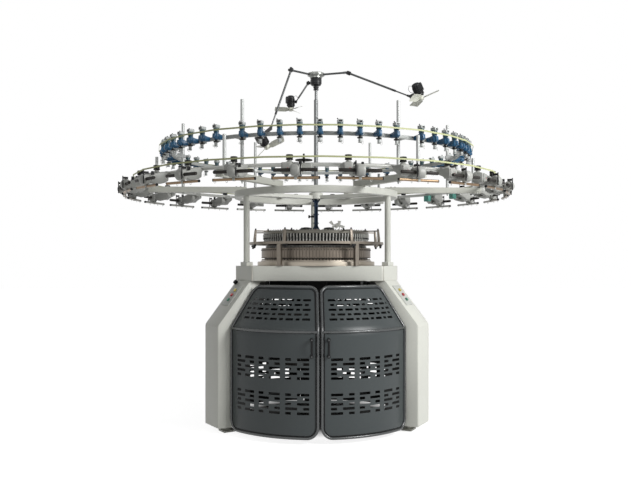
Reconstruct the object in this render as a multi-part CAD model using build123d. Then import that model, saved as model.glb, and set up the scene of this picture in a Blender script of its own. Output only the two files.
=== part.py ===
from build123d import *
import math
import os

# Large circular knitting machine, in millimetres.
# The origin is on the floor under the needle cylinder's axis. +Z is up and the doors face -Y.
# An azimuth is measured about +Z from the front, positive towards +X.

LEG_AZIMUTHS = {"left": -60.0, "right": 60.0, "rear": 180.0}
BEAM_AZIMUTHS = (-150.0, -90.0, -30.0, 30.0, 90.0, 150.0)
RUNNING_GAP = 0.3

# Knitting head
RING_SIDE_COUNT = 24
CYLINDER_R = 431.8
CYLINDER_WALL = 30.0
CYLINDER_TOP_Z = 1505.0
CYLINDER_BOTTOM_Z = 1204.0
CYLINDER_CLEARANCE = 9.0
BASE_RING_WALL = 66.2
BASE_RING_TOP_Z = 1381.0
CAM_TILE_COUNT = 54
CAM_WALL = 31.8
CAM_RING_TOP_Z = 1487.0
NEEDLE_GAP = 10.0
DIAL_INSET = 6.8
DIAL_CAP_Z = 1560.0
DIAL_CAP_PROUD = (11.0, 31.0)
DIAL_CAP_HEIGHT = 80.0
DIAL_SHAFT_WIDTH = 40.0
GUIDE_RING_REACH = 77.0
GUIDE_RING_WIDTH = 36.0
GUIDE_RING_Z = 1514.0
GUIDE_RING_HEIGHT = 22.0
GUIDE_STAND_OFFSET = 27.0
GUIDE_SEAT = 4.0
GUIDE_BRACKETS = 8
GUIDE_BRACKET_SECTION = 16.0
GUIDE_BRACKET_RISE = 99.0
GUIDE_BRACKET_REACH = 84.0
HOSE_WIDTH = 16.0
HOSE_SPACING = 30.0
HOSE_FORWARD = 12.0

# Legs, feet and floor tie
LEG_WIDTH = 250.0
LEG_SLOPE_RUN = 286.0
LEG_DEPTH = 288.0
LEG_BOTTOM_Z = 55.0
LEG_KNEE_Z = 861.0
LEG_TOP_DEPTH = 140.0
LEG_CHAMFER = 16.0
FOOT_PAD = 112.0
FOOT_PAD_HEIGHT = 16.0
FOOT_STEM = 44.0
TIE_WIDTH = 80.0
TIE_HEIGHT = 60.0
TIE_Z = 90.0
TIE_HUB_WIDTH = 260.0
FOOT_BOSS_WIDTH = 200.0

# Bed and apron
BED_LONG_WALL = 49.2
BED_SHORT_WALL = 270.2
APRON_BOTTOM_Z = 1216.0
BED_TOP_Z = 1336.0
APRON_WALL = 4.0

# Posts and upper frame
POST_WIDTH = 50.0
POST_INSET = 30.0
COLLAR_WIDTH = 112.0
COLLAR_DEPTH = 58.0
COLLAR_HEIGHT = 32.0
HEAD_RING_Z = 1913.0
HEAD_RING_HEIGHT = 54.0
HEAD_RING_OUTSIDE_POST = 32.0
HEAD_RING_INSIDE_POST = 30.0
HEAD_ARM_LAP = 10.0
HEAD_HUB_WIDTH = 124.0
HEAD_ARM_WIDTH = 56.0
HEAD_ARM_HEIGHT = 30.0
BEAM_SECTION = 50.0
BEAM_INSIDE_POST = 72.0
BEAM_END_INSET = 5.0
STAND_SECTION = 26.0
TALL_STAND_TOP_Z = 2563.0
SHORT_STAND_INSET = 69.0
SHORT_STAND_TOP_Z = 2275.0

# Lower ring of roller feeders
LOWER_RAIL_R = 1450.0
LOWER_RAIL_SECTION = 28.0
LOWER_UNITS = 24
UNIT_DEPTH = 142.0
UNIT_WIDTH = 136.0
UNIT_ASIDE = -12.0
UNIT_HEIGHT = 88.0
UNIT_BELOW_RAIL = 67.0
DRUM_WIDTH = 83.0
DRUM_LENGTH = 62.0
DRUM_ASIDE = 25.0
DRUM_RISE = 22.0
FEED_ROLLER_WIDTH = 24.0
FEED_ROLLER_LENGTH = 290.0
YARN_BAR_LENGTH = 320.0
YARN_BAR_SECTION = 18.0
YARN_BAR_INSET = 7.0
UNIT_PULLEY_REACH = 60.0
UNIT_PULLEY_ASIDE = -30.0
UNIT_PULLEY_WIDTH = 48.0
UNIT_PULLEY_HEIGHT = 52.0
BELT_WIDTH = 12.0
BELT_THICKNESS = 2.0
BELT_BELOW_TOP = 24.0
TENSION_AZIMUTHS = (-5.2, 40.0)
TENSION_WHEEL_WIDTH = 119.0
TENSION_WHEEL_HEIGHT = 8.0
TENSION_WHEEL_RISE = 12.0
SPINDLE_WIDTH = 14.0
SPINDLE_HEIGHT = 60.0

# Upper ring of storage feeders
UPPER_RAIL_R = 1232.0
UPPER_RAIL_SECTION = 26.0
UPPER_RAIL_Z = 2268.0
CLAMP_WIDTH = 40.0
CLAMP_LENGTH = 56.0
FEEDER_GROUPS = 6
FEEDERS_PER_GROUP = 9
FEEDER_PITCH = 6.25
FEEDER_RING_TURN = -0.7
FEEDER_WIDTH = 42.0
FEEDER_ARM_LENGTH = 36.0
FEEDER_COLUMN_DEPTH = 66.0
FEEDER_TOP_Z = 2365.0
FEEDER_ARM_Z = (2252.0, 2298.0)
UPPER_BELT_Z = 2313.0

# Take-down under the cylinder
TAKEDOWN_INSET = 15.8
TAKEDOWN_PLATE = 26.0
TAKEDOWN_DEPTH = 280.0
TAKEDOWN_Z = 240.0
ROLLER_SIDE_COUNT = 12
ROLLER_RADIUS = 32.0
ROLLER_Z = 905.0
ROLLER_OFFSET = 33.0
WINDING_ROLLER_RADIUS = 40.0
WINDING_ROLLER_Z = 480.0
MOTOR_WIDTH = 190.0
MOTOR_HEIGHT = 300.0
MOTOR_Z = 480.0

# Overhead fan
POLE_WIDTH = 36.0
MAST_WIDTH = 25.0
POLE_STEP_Z = 2777.0
MAST_TOP_Z = 2861.0
NECK_WIDTH = 50.0
NECK_HEIGHT = 36.0
HUB_MOTOR_WIDTH = 100.0
HUB_MOTOR_HEIGHT = 66.0
HUB_PLATE_WIDTH = 150.0
HUB_PLATE_HEIGHT = 54.0
ELBOW_R = 290.0
ARM_WIDTH = 18.0
EYE_SIZE = 34.0
EYE_THICKNESS = 20.0
EYE_GAP = 0.4
FAN_BEARINGS = {"right": 70.1, "back": -169.9, "left": -49.9}
FAN_DROPS = {"right": 24.0, "back": 4.0, "left": 67.0}
OUTER_ARM_LENGTHS = {"right": 587.0, "back": 615.0, "left": 569.0}
FAN_OFFSETS = {"right": (62.0, 0.0, 52.0), "back": (0.0, 52.0, 0.0), "left": (85.0, 0.0, -95.0)}
FAN_TILTS = {"right": -22.6, "back": 0.0, "left": 38.0}
FAN_TURNS = {"right": 0.0, "back": 90.0, "left": 0.0}
FAN_BRACKET_WIDTH = 20.0
FAN_BRACKET_HEIGHT = 30.0
FAN_MOTOR_WIDTH = 82.0
FAN_MOTOR_LENGTH = 116.0
PROPELLER_RADIUS = 158.0
PROPELLER_HUB_WIDTH = 48.0
PROPELLER_HUB_HEIGHT = 36.0
BLADE_CHORD = 78.0
BLADE_THICKNESS = 4.0
BLADE_PITCH = 22.0
BLADES = 3

# Doors and rear guards
DOOR_INSET = 146.0
DOOR_AXIS_Y = -101.0
DOOR_SHEET = 3.0
DOOR_BOTTOM_Z = 40.0
DOOR_BEND_Z = 846.0
DOOR_TOP_Z = 1187.0
DOOR_TOP_INSET = 87.0
DOOR_END_ANGLE = 59.5
DOOR_GAP = 9.0
DOOR_LEG_GAP = 14.0
RIM_SECTION = 24.0
COLUMN_STARTS = (5.6, 21.2, 36.9)
COLUMN_ANGLE = 12.7
SLOT_EDGE = 1.5
SHORT_SLOT = 44.0
SLOT_HEIGHT = 17.0
SLOT_ROWS = 5
SLOT_PITCH = 35.0
SLOT_BLOCKS_Z = (237.0, 499.6)
TOP_SLOT_HEIGHT = 12.0
TOP_SLOTS_Z = 936.0
WINDOW_EDGE = 24.0
HANDLE_LENGTH = 150.0
HANDLE_WIDTH = 13.0
HANDLE_STANDOFF = 34.0
HANDLE_FROM_GAP = 62.0
HANDLE_Z = 729.0
HINGE_HEIGHTS_Z = (280.0, 780.0)
HINGE_PIN_WIDTH = 11.0
HINGE_CLEARANCE = 0.05
HINGE_FROM_LEG = 12.0
HINGE_PROUD = 14.0
KNUCKLE_WIDTH = 22.0
KNUCKLE_LENGTH = 50.0
KNUCKLE_WALL = 2.0
LUG_THICKNESS = 14.0
STRAP_LENGTH = 22.0

# Push-button panels on the slanted faces of the front legs
PANEL_WIDTH = 130.0
PANEL_LENGTH = 200.0
PANEL_THICKNESS = 8.0
PANEL_FROM_TOP = 156.0
BUTTON_WIDTH = 24.0
BUTTON_HEIGHT = 15.0
BUTTON_SINK = 3.0
BUTTON_PITCH = 48.0
BUTTON_COLOURS = ("yellow", "red", "green")
KNOB_WIDTH = 34.0
KNOB_HEIGHT = 24.0
KNOB_FROM_TOP = 28.0
KNOB_ASIDE = 92.0


def turned(shape, azimuth):
    """A shape modelled at the front, carried round the machine's axis."""
    return Rot(0, 0, azimuth) * shape


def spot(azimuth, radius, z):
    """The point at a radius and height, at an azimuth from the front."""
    angle = math.radians(azimuth)
    return Vector(radius * math.sin(angle), -radius * math.cos(angle), z)


def bar(width, depth, height, radius, z):
    """An upright block at the front. Its outer face is at the radius and its foot is at z."""
    return Pos(0, -radius + depth / 2, z + height / 2) * Box(width, depth, height)


def flats(width, sides=8):
    """A regular polygon as wide across its flats as the stock it is cut from, a flat facing -Y."""
    return RegularPolygon(width / 2, sides, major_radius=False, rotation=180 / sides - 90, align=None)


def prism(width, height, sides=8):
    """A bar with a flat facing -Y, standing on the XY plane."""
    return extrude(flats(width, sides), height)


def ring(outer, inner, height, z, sides):
    """A flat-sided ring. The outer radius is at its corners and the inner radius at its flats."""
    hole = RegularPolygon(inner, sides, major_radius=False, align=None)
    return Pos(0, 0, z) * extrude(RegularPolygon(outer, sides, align=None) - hole, height)


def radial_plate(points, width):
    """An outline of (radius, z) points at the front, made into a plate of this width."""
    outline = Polyline(*[(0, -radius, z) for radius, z in points], close=True)
    return extrude(make_face(outline), width / 2, dir=(1, 0, 0), both=True)


def tangent_outline(azimuths, radius):
    """An outline of flats that touch the radius at these azimuths, which go once round in order."""
    corners = []
    for here, after in zip(azimuths, azimuths[1:] + [azimuths[0] + 360]):
        half = (after - here) / 2
        corners.append(spot(here + half, radius / math.cos(math.radians(half)), 0))
    return make_face(Polyline(*corners, close=True))


def tangent_ring(azimuths, outer, width, height, z):
    sketch = tangent_outline(azimuths, outer) - tangent_outline(azimuths, outer - width)
    return Pos(0, 0, z) * extrude(sketch, height)


def group(pieces):
    return Compound(children=[solid for piece in pieces for solid in piece.solids()])


def fused(first, others):
    return first.fuse(*others)


parts = {}

# The radii follow from the needle cylinder's, outwards to the legs.
bed_long_r = CYLINDER_R + BED_LONG_WALL
bed_short_r = CYLINDER_R + BED_SHORT_WALL
leg_outer_r = bed_short_r + LEG_SLOPE_RUN
leg_inner_r = leg_outer_r - LEG_DEPTH
post_r = bed_short_r - POST_INSET

# Each leg is a box column with a slanted shoulder. A pad on a stem levels it.
leg_points = [
    (leg_outer_r, LEG_BOTTOM_Z),
    (leg_outer_r, LEG_KNEE_Z),
    (bed_short_r, APRON_BOTTOM_Z),
    (bed_short_r - LEG_TOP_DEPTH, APRON_BOTTOM_Z),
    (bed_short_r - LEG_TOP_DEPTH, APRON_BOTTOM_Z - LEG_TOP_DEPTH),
    (leg_inner_r, LEG_KNEE_Z),
    (leg_inner_r, LEG_BOTTOM_Z),
]
leg_blank = radial_plate(leg_points, LEG_WIDTH)
outer_edges = leg_blank.edges().filter_by(Axis.Z).filter_by(lambda e: e.center().Y < 1 - leg_outer_r)
leg_blank = chamfer(outer_edges, LEG_CHAMFER)

foot_r = leg_outer_r - LEG_DEPTH / 2
foot = bar(FOOT_PAD, FOOT_PAD, FOOT_PAD_HEIGHT, foot_r + FOOT_PAD / 2, 0)
stem_height = LEG_BOTTOM_Z - FOOT_PAD_HEIGHT
foot += bar(FOOT_STEM, FOOT_STEM, stem_height, foot_r + FOOT_STEM / 2, FOOT_PAD_HEIGHT)
parts["levelling_feet"] = group([turned(foot, azimuth) for azimuth in LEG_AZIMUTHS.values()])

# The floor tie joins the legs and carries the take-down's foot bearing.
tie = Pos(0, 0, TIE_Z) * prism(TIE_HUB_WIDTH, TIE_HEIGHT, 12)
tie_arm = bar(TIE_WIDTH, leg_inner_r, TIE_HEIGHT, leg_inner_r, TIE_Z)
parts["floor_tie"] = fused(tie, [turned(tie_arm, azimuth) for azimuth in LEG_AZIMUTHS.values()])


def bed_outline(inset):
    """The bed's six-sided outline: three long sides between the legs and a short one over each leg."""
    corners = []
    for azimuth in (0.0, 120.0, 240.0):
        long_r = bed_long_r - inset
        short_r = bed_short_r - inset
        half = (short_r - long_r * math.cos(math.radians(60))) / math.sin(math.radians(60))
        for side in (-1, 1):
            corner = Vector(side * half, -long_r, 0)
            corners.append(corner.rotate(Axis.Z, azimuth))
    return make_face(Polyline(*corners, close=True))


bore_sketch = RegularPolygon(CYLINDER_R + RUNNING_GAP, RING_SIDE_COUNT, major_radius=False, align=None)
apron_height = BED_TOP_Z - APRON_BOTTOM_Z
apron_sketch = bed_outline(0) - bed_outline(APRON_WALL)
parts["apron"] = Pos(0, 0, APRON_BOTTOM_Z) * extrude(apron_sketch, apron_height)
bed_sketch = bed_outline(APRON_WALL) - bore_sketch
parts["bed_plate"] = Pos(0, 0, APRON_BOTTOM_Z) * extrude(bed_sketch, apron_height)

# Three posts on collars carry the head ring, whose spider holds the centre pole.
collar = bar(COLLAR_WIDTH, COLLAR_DEPTH, COLLAR_HEIGHT, post_r + COLLAR_DEPTH / 2, BED_TOP_Z)
post_foot_z = BED_TOP_Z + COLLAR_HEIGHT
post = Pos(0, -post_r, post_foot_z) * prism(POST_WIDTH, HEAD_RING_Z - post_foot_z, 12)
parts["post_collars"] = group([turned(collar, azimuth) for azimuth in LEG_AZIMUTHS.values()])
parts["main_posts"] = group([turned(post, azimuth) for azimuth in LEG_AZIMUTHS.values()])

head_ring_outer = post_r + HEAD_RING_OUTSIDE_POST
head_ring_inner = post_r - HEAD_RING_INSIDE_POST
head_ring = ring(head_ring_outer, head_ring_inner, HEAD_RING_HEIGHT, HEAD_RING_Z, RING_SIDE_COUNT)
head_hub = Pos(0, 0, HEAD_RING_Z) * prism(HEAD_HUB_WIDTH, HEAD_RING_HEIGHT, 12)
head_arm_r = head_ring_inner + HEAD_ARM_LAP
head_arm = bar(HEAD_ARM_WIDTH, head_arm_r, HEAD_ARM_HEIGHT, head_arm_r, HEAD_RING_Z)
head_arms = [turned(head_arm, azimuth) for azimuth in LEG_AZIMUTHS.values()]
parts["head_ring"] = fused(head_ring, [head_hub] + head_arms)

# Six square beams lie on the head ring, and square stands rise from them.
beam_z = HEAD_RING_Z + HEAD_RING_HEIGHT
beam_top_z = beam_z + BEAM_SECTION
beam_outer_r = LOWER_RAIL_R - BEAM_END_INSET
beam_length = beam_outer_r - post_r + BEAM_INSIDE_POST
beam = bar(BEAM_SECTION, beam_length, BEAM_SECTION, beam_outer_r, beam_z)


def stand(radius, top_z):
    return bar(STAND_SECTION, STAND_SECTION, top_z - beam_top_z, radius + STAND_SECTION / 2, beam_top_z)


clamp_outer_r = UPPER_RAIL_R - UPPER_RAIL_SECTION / 2
clamp_inner_r = clamp_outer_r - CLAMP_LENGTH
tall_stand = stand(clamp_inner_r - STAND_SECTION / 2, TALL_STAND_TOP_Z)
short_stand = stand(beam_outer_r - SHORT_STAND_INSET, SHORT_STAND_TOP_Z)
parts["radial_beams"] = group([turned(beam, azimuth) for azimuth in BEAM_AZIMUTHS])
parts["tall_stands"] = group([turned(tall_stand, azimuth) for azimuth in BEAM_AZIMUTHS])
parts["short_stands"] = group([turned(short_stand, azimuth) for azimuth in BEAM_AZIMUTHS])

# The lower ring: a rail on the beams' ends with a roller feed unit bolted to each flat.
unit_pitch = 360 / LOWER_UNITS
unit_azimuths = [unit_pitch * (number + 0.5) for number in range(LOWER_UNITS)]
parts["lower_rail"] = tangent_ring(
    unit_azimuths, LOWER_RAIL_R, LOWER_RAIL_SECTION, LOWER_RAIL_SECTION, beam_top_z
)
unit_z = beam_top_z - UNIT_BELOW_RAIL
unit_top_z = unit_z + UNIT_HEIGHT
unit_outer_r = LOWER_RAIL_R + UNIT_DEPTH
unit_body = Pos(UNIT_ASIDE, 0, 0) * bar(UNIT_WIDTH, UNIT_DEPTH, UNIT_HEIGHT, unit_outer_r, unit_z)
drum_r = unit_outer_r + DRUM_WIDTH / 2
drum_z = unit_z + DRUM_RISE
drum_axis = Plane((DRUM_ASIDE, -drum_r, drum_z), x_dir=(0, 1, 0), z_dir=(1, 0, 0))
unit_body += extrude(drum_axis * flats(DRUM_WIDTH), DRUM_LENGTH / 2, both=True)
roller_end = drum_axis.offset(DRUM_LENGTH / 2) * flats(FEED_ROLLER_WIDTH, 6)
roller_half = extrude(roller_end, (FEED_ROLLER_LENGTH - DRUM_LENGTH) / 2)
unit_bars = [roller_half, Pos(2 * DRUM_ASIDE, 0, 0) * mirror(roller_half, Plane.YZ)]
yarn_bar_z = drum_z - DRUM_WIDTH / 2 - YARN_BAR_SECTION
yarn_bar = bar(YARN_BAR_LENGTH, YARN_BAR_SECTION, YARN_BAR_SECTION, drum_r - YARN_BAR_INSET, yarn_bar_z)
unit_bars.append(Pos(DRUM_ASIDE, 0, 0) * yarn_bar)
unit_pulley_r = LOWER_RAIL_R + UNIT_PULLEY_REACH
unit_pulley_place = Pos(UNIT_PULLEY_ASIDE, -unit_pulley_r, unit_top_z)
unit_pulley = unit_pulley_place * prism(UNIT_PULLEY_WIDTH, UNIT_PULLEY_HEIGHT, 6)
parts["roller_feeders"] = group([turned(unit_body, azimuth) for azimuth in unit_azimuths])
parts["roller_bars"] = group([turned(piece, azimuth) for azimuth in unit_azimuths for piece in unit_bars])

# Two tension wheels stand on the rail, on spindles beside the pulleys.
tension_wheel = prism(SPINDLE_WIDTH, SPINDLE_HEIGHT)
tension_wheel += Pos(0, 0, TENSION_WHEEL_RISE) * prism(TENSION_WHEEL_WIDTH, TENSION_WHEEL_HEIGHT, 12)
rail_top_z = beam_top_z + LOWER_RAIL_SECTION
tension_wheel = Pos(0, LOWER_RAIL_SECTION / 2 - LOWER_RAIL_R, rail_top_z) * tension_wheel
pulleys = [turned(unit_pulley, azimuth) for azimuth in unit_azimuths]
pulleys += [turned(tension_wheel, azimuth) for azimuth in TENSION_AZIMUTHS]
parts["roller_pulleys"] = group(pulleys)

# Each drive belt lies round the outside of its ring's pulleys.
lower_belt_r = unit_pulley_r + UNIT_PULLEY_WIDTH / 2 + RUNNING_GAP + BELT_THICKNESS
lower_belt_z = unit_top_z + UNIT_PULLEY_HEIGHT - BELT_BELOW_TOP
parts["lower_drive_belt"] = tangent_ring(
    unit_azimuths, lower_belt_r, BELT_THICKNESS, BELT_WIDTH, lower_belt_z
)

# The upper ring: a rail clamped to the tall stands, with six groups of storage feeders.
feeder_azimuths = []
for group_number in range(FEEDER_GROUPS):
    for place in range(FEEDERS_PER_GROUP):
        offset = (place - (FEEDERS_PER_GROUP - 1) / 2) * FEEDER_PITCH + FEEDER_RING_TURN
        feeder_azimuths.append(group_number * 360 / FEEDER_GROUPS + offset)
upper_rail = tangent_ring(
    feeder_azimuths, UPPER_RAIL_R, UPPER_RAIL_SECTION, UPPER_RAIL_SECTION, UPPER_RAIL_Z
)
clamp = bar(CLAMP_WIDTH, CLAMP_LENGTH, UPPER_RAIL_SECTION, clamp_outer_r, UPPER_RAIL_Z)
parts["upper_rail"] = fused(upper_rail, [turned(clamp, azimuth) for azimuth in BEAM_AZIMUTHS])
column_in = UPPER_RAIL_R + FEEDER_ARM_LENGTH
column_out = column_in + FEEDER_COLUMN_DEPTH
feeder_points = [
    (UPPER_RAIL_R, FEEDER_ARM_Z[0]),
    (column_out, FEEDER_ARM_Z[0]),
    (column_out, FEEDER_TOP_Z),
    (column_in, FEEDER_TOP_Z),
    (column_in, FEEDER_ARM_Z[1]),
    (UPPER_RAIL_R, FEEDER_ARM_Z[1]),
]
feeder = radial_plate(feeder_points, FEEDER_WIDTH)
parts["storage_feeders"] = group([turned(feeder, azimuth) for azimuth in feeder_azimuths])
belt_azimuths = feeder_azimuths[::2]
upper_belt_r = column_out + RUNNING_GAP + BELT_THICKNESS
parts["upper_drive_belt"] = tangent_ring(
    belt_azimuths, upper_belt_r, BELT_THICKNESS, BELT_WIDTH, UPPER_BELT_Z
)

# The knitting head: fixed base and cam rings round the turning needle cylinder.
head_bore = CYLINDER_R + CYLINDER_CLEARANCE
base_ring_r = head_bore + BASE_RING_WALL
parts["base_ring"] = ring(base_ring_r, head_bore, BASE_RING_TOP_Z - BED_TOP_Z, BED_TOP_Z, RING_SIDE_COUNT)
cam_ring_height = CAM_RING_TOP_Z - BASE_RING_TOP_Z
parts["cam_ring"] = ring(head_bore + CAM_WALL, head_bore, cam_ring_height, BASE_RING_TOP_Z, CAM_TILE_COUNT)
cylinder_height = CYLINDER_TOP_Z - CYLINDER_BOTTOM_Z
parts["needle_cylinder"] = ring(
    CYLINDER_R, CYLINDER_R - CYLINDER_WALL, cylinder_height, CYLINDER_BOTTOM_Z, RING_SIDE_COUNT
)

# The dial turns under a fixed cap that hangs on the centre shaft.
dial_z = CYLINDER_TOP_Z + NEEDLE_GAP
dial_r = CYLINDER_R - DIAL_INSET
dial_sketch = RegularPolygon(dial_r, RING_SIDE_COUNT, align=None)
parts["dial"] = Pos(0, 0, dial_z) * extrude(dial_sketch, DIAL_CAP_Z - RUNNING_GAP - dial_z)
foot_proud, top_proud = DIAL_CAP_PROUD
dial_cap_foot = Pos(0, 0, DIAL_CAP_Z) * RegularPolygon(dial_r + foot_proud, RING_SIDE_COUNT, align=None)
dial_cap_slope = math.degrees(math.atan2(top_proud - foot_proud, DIAL_CAP_HEIGHT))
parts["dial_cap"] = extrude(dial_cap_foot, DIAL_CAP_HEIGHT, taper=-dial_cap_slope)
dial_cap_top_z = DIAL_CAP_Z + DIAL_CAP_HEIGHT
shaft_length = HEAD_RING_Z - dial_cap_top_z
parts["dial_shaft"] = Pos(0, 0, dial_cap_top_z) * prism(DIAL_SHAFT_WIDTH, shaft_length, 12)
hose = Pos(0, -HOSE_FORWARD, dial_cap_top_z) * prism(HOSE_WIDTH, shaft_length, 6)
parts["oil_hoses"] = group([Pos(side * HOSE_SPACING, 0, 0) * hose for side in (-1, 1)])

# The guide ring stands on the bed, on a pair of stands by each post, and holds inward yarn guide arms.
guide_outer_r = base_ring_r + GUIDE_RING_REACH
guide_inner_r = guide_outer_r - GUIDE_RING_WIDTH
guide_ring = ring(guide_outer_r, guide_inner_r, GUIDE_RING_HEIGHT, GUIDE_RING_Z, RING_SIDE_COUNT)
guide_mid_r = (guide_outer_r + guide_inner_r) / 2
stand_height = GUIDE_RING_Z - BED_TOP_Z + GUIDE_SEAT
guide_stand = bar(GUIDE_BRACKET_SECTION, GUIDE_BRACKET_SECTION, stand_height, guide_mid_r, BED_TOP_Z)
bracket_foot_z = GUIDE_RING_Z + GUIDE_RING_HEIGHT
bracket_top_z = bracket_foot_z + GUIDE_BRACKET_RISE
bracket_points = [
    (guide_mid_r, bracket_foot_z - GUIDE_SEAT),
    (guide_mid_r, bracket_top_z),
    (guide_mid_r - GUIDE_BRACKET_REACH, bracket_top_z),
    (guide_mid_r - GUIDE_BRACKET_REACH, bracket_top_z - GUIDE_BRACKET_SECTION),
    (guide_mid_r - GUIDE_BRACKET_SECTION, bracket_top_z - GUIDE_BRACKET_SECTION),
    (guide_mid_r - GUIDE_BRACKET_SECTION, bracket_foot_z - GUIDE_SEAT),
]
guide_bracket = radial_plate(bracket_points, GUIDE_BRACKET_SECTION)
guide_pieces = []
for azimuth in LEG_AZIMUTHS.values():
    for offset in (-GUIDE_STAND_OFFSET, GUIDE_STAND_OFFSET):
        guide_pieces.append(turned(guide_stand, azimuth + offset))
bracket_step = 360 / GUIDE_BRACKETS
guide_pieces += [turned(guide_bracket, bracket_step * (number + 0.5)) for number in range(GUIDE_BRACKETS)]
parts["guide_ring"] = fused(guide_ring, guide_pieces)

# The take-down frame hangs from the cylinder and turns with it: two side plates on a
# cross beam, with a nip of two rollers above the winding roller.
takedown_half = CYLINDER_R - TAKEDOWN_INSET
side_height = CYLINDER_BOTTOM_Z - TAKEDOWN_Z
side_plate = Pos(takedown_half, 0, TAKEDOWN_Z + side_height / 2) * Box(
    TAKEDOWN_PLATE, TAKEDOWN_DEPTH, side_height
)
frame_width = 2 * takedown_half + TAKEDOWN_PLATE
foot_top_z = TIE_Z + TIE_HEIGHT + RUNNING_GAP
cross_beam = Pos(0, 0, TAKEDOWN_Z + TAKEDOWN_PLATE / 2) * Box(frame_width, TAKEDOWN_DEPTH, TAKEDOWN_PLATE)
foot_boss = Pos(0, 0, foot_top_z) * prism(FOOT_BOSS_WIDTH, TAKEDOWN_Z - foot_top_z, 12)
takedown = fused(cross_beam, [side_plate, mirror(side_plate, Plane.YZ), foot_boss])
roller_places = {
    "takedown_roller_front": (-ROLLER_OFFSET, ROLLER_Z, ROLLER_RADIUS),
    "takedown_roller_back": (ROLLER_OFFSET, ROLLER_Z, ROLLER_RADIUS),
    "winding_roller": (0.0, WINDING_ROLLER_Z, WINDING_ROLLER_RADIUS),
}
inside_half = takedown_half - TAKEDOWN_PLATE / 2
for name, (y, z, radius) in roller_places.items():
    axis_plane = Plane((0, y, z), x_dir=(0, 1, 0), z_dir=(1, 0, 0))
    roller_end = axis_plane * RegularPolygon(radius, ROLLER_SIDE_COUNT, align=None)
    parts[name] = extrude(roller_end, inside_half - RUNNING_GAP, both=True)
parts["takedown_frame"] = takedown

# The drive motor is bolted to the inner side of the rear leg.
motor = bar(MOTOR_WIDTH, MOTOR_WIDTH, MOTOR_HEIGHT, leg_inner_r, MOTOR_Z)
motor = chamfer(motor.edges().filter_by(Axis.Z), MOTOR_WIDTH / 5)
parts["drive_motor"] = turned(motor, LEG_AZIMUTHS["rear"])

# The centre pole carries the overhead fan's geared motor.
head_top_z = HEAD_RING_Z + HEAD_RING_HEIGHT
pole = Pos(0, 0, head_top_z) * prism(POLE_WIDTH, POLE_STEP_Z - head_top_z, 12)
parts["centre_pole"] = pole + Pos(0, 0, POLE_STEP_Z) * prism(MAST_WIDTH, MAST_TOP_Z - POLE_STEP_Z, 12)
hub_motor = Pos(0, 0, MAST_TOP_Z) * prism(NECK_WIDTH, NECK_HEIGHT)
hub_motor_z = MAST_TOP_Z + NECK_HEIGHT
parts["fan_drive"] = hub_motor + Pos(0, 0, hub_motor_z) * prism(HUB_MOTOR_WIDTH, HUB_MOTOR_HEIGHT)
plate_z = hub_motor_z + HUB_MOTOR_HEIGHT + RUNNING_GAP
hub_turn = FAN_BEARINGS["right"]
parts["fan_hub"] = Rot(0, 0, hub_turn) * (Pos(0, 0, plate_z) * prism(HUB_PLATE_WIDTH, HUB_PLATE_HEIGHT, 12))

# Each fan arm has a level inner tube, an elbow with a cross pin, and an outer tube with a fan.
elbow_z = plate_z + HUB_PLATE_HEIGHT / 2
eye_offset = (EYE_THICKNESS + EYE_GAP) / 2
inner_arm_length = ELBOW_R - EYE_SIZE / 2 - HUB_PLATE_WIDTH / 2
along_x = Plane((0, 0, 0), x_dir=(0, 1, 0), z_dir=(1, 0, 0))
arm_sketch = along_x * flats(ARM_WIDTH)
inner_arm = Pos(HUB_PLATE_WIDTH / 2, -eye_offset, 0) * extrude(arm_sketch, inner_arm_length)
inner_arm += Pos(ELBOW_R, -eye_offset, 0) * Box(EYE_SIZE, EYE_THICKNESS, EYE_SIZE)
inner_arms = []
propeller_z = -FAN_MOTOR_LENGTH / 2 - RUNNING_GAP - PROPELLER_HUB_HEIGHT
blade = Rot(BLADE_PITCH, 0, 0) * Box(PROPELLER_RADIUS, BLADE_CHORD, BLADE_THICKNESS)
blade = Pos(PROPELLER_RADIUS / 2, 0, PROPELLER_HUB_HEIGHT / 2) * blade
blades = [Rot(0, 0, number * 360 / BLADES) * blade for number in range(BLADES)]
propeller = fused(prism(PROPELLER_HUB_WIDTH, PROPELLER_HUB_HEIGHT, 6), blades)
for side, bearing in FAN_BEARINGS.items():
    outward = Rot(0, 0, bearing - 90)
    inner_arms.append(Pos(0, 0, elbow_z) * outward * inner_arm)
    elbow = Pos(0, 0, elbow_z) * outward * Pos(ELBOW_R, eye_offset, 0)
    length = OUTER_ARM_LENGTHS[side]
    tube = Pos(EYE_SIZE / 2, 0, 0) * extrude(arm_sketch, length - EYE_SIZE / 2)
    tube = Rot(0, FAN_DROPS[side], 0) * (tube + Box(EYE_SIZE, EYE_THICKNESS, EYE_SIZE))
    drop = math.radians(FAN_DROPS[side])
    tip = Vector(length * math.cos(drop), 0, -length * math.sin(drop))
    fan = Pos(tip + Vector(*FAN_OFFSETS[side])) * Rot(0, FAN_TILTS[side], 0) * Rot(0, 0, FAN_TURNS[side])
    tip_from_fan = (fan.inverse() * Pos(tip)).position
    bracket_length = ARM_WIDTH / 2 - tip_from_fan.X - FAN_MOTOR_WIDTH / 2
    bracket_x = -(FAN_MOTOR_WIDTH + bracket_length) / 2
    bracket = Box(bracket_length, FAN_BRACKET_WIDTH, FAN_BRACKET_HEIGHT)
    bracket = Pos(bracket_x, tip_from_fan.Y, tip_from_fan.Z) * bracket
    fan_motor = Pos(0, 0, -FAN_MOTOR_LENGTH / 2) * prism(FAN_MOTOR_WIDTH, FAN_MOTOR_LENGTH)
    parts["outer_arm_" + side] = elbow * (tube + fan * bracket)
    parts["fan_motor_" + side] = elbow * fan * fan_motor
    parts["propeller_" + side] = elbow * fan * Pos(0, 0, propeller_z) * propeller
parts["inner_arms"] = group(inner_arms)

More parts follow.
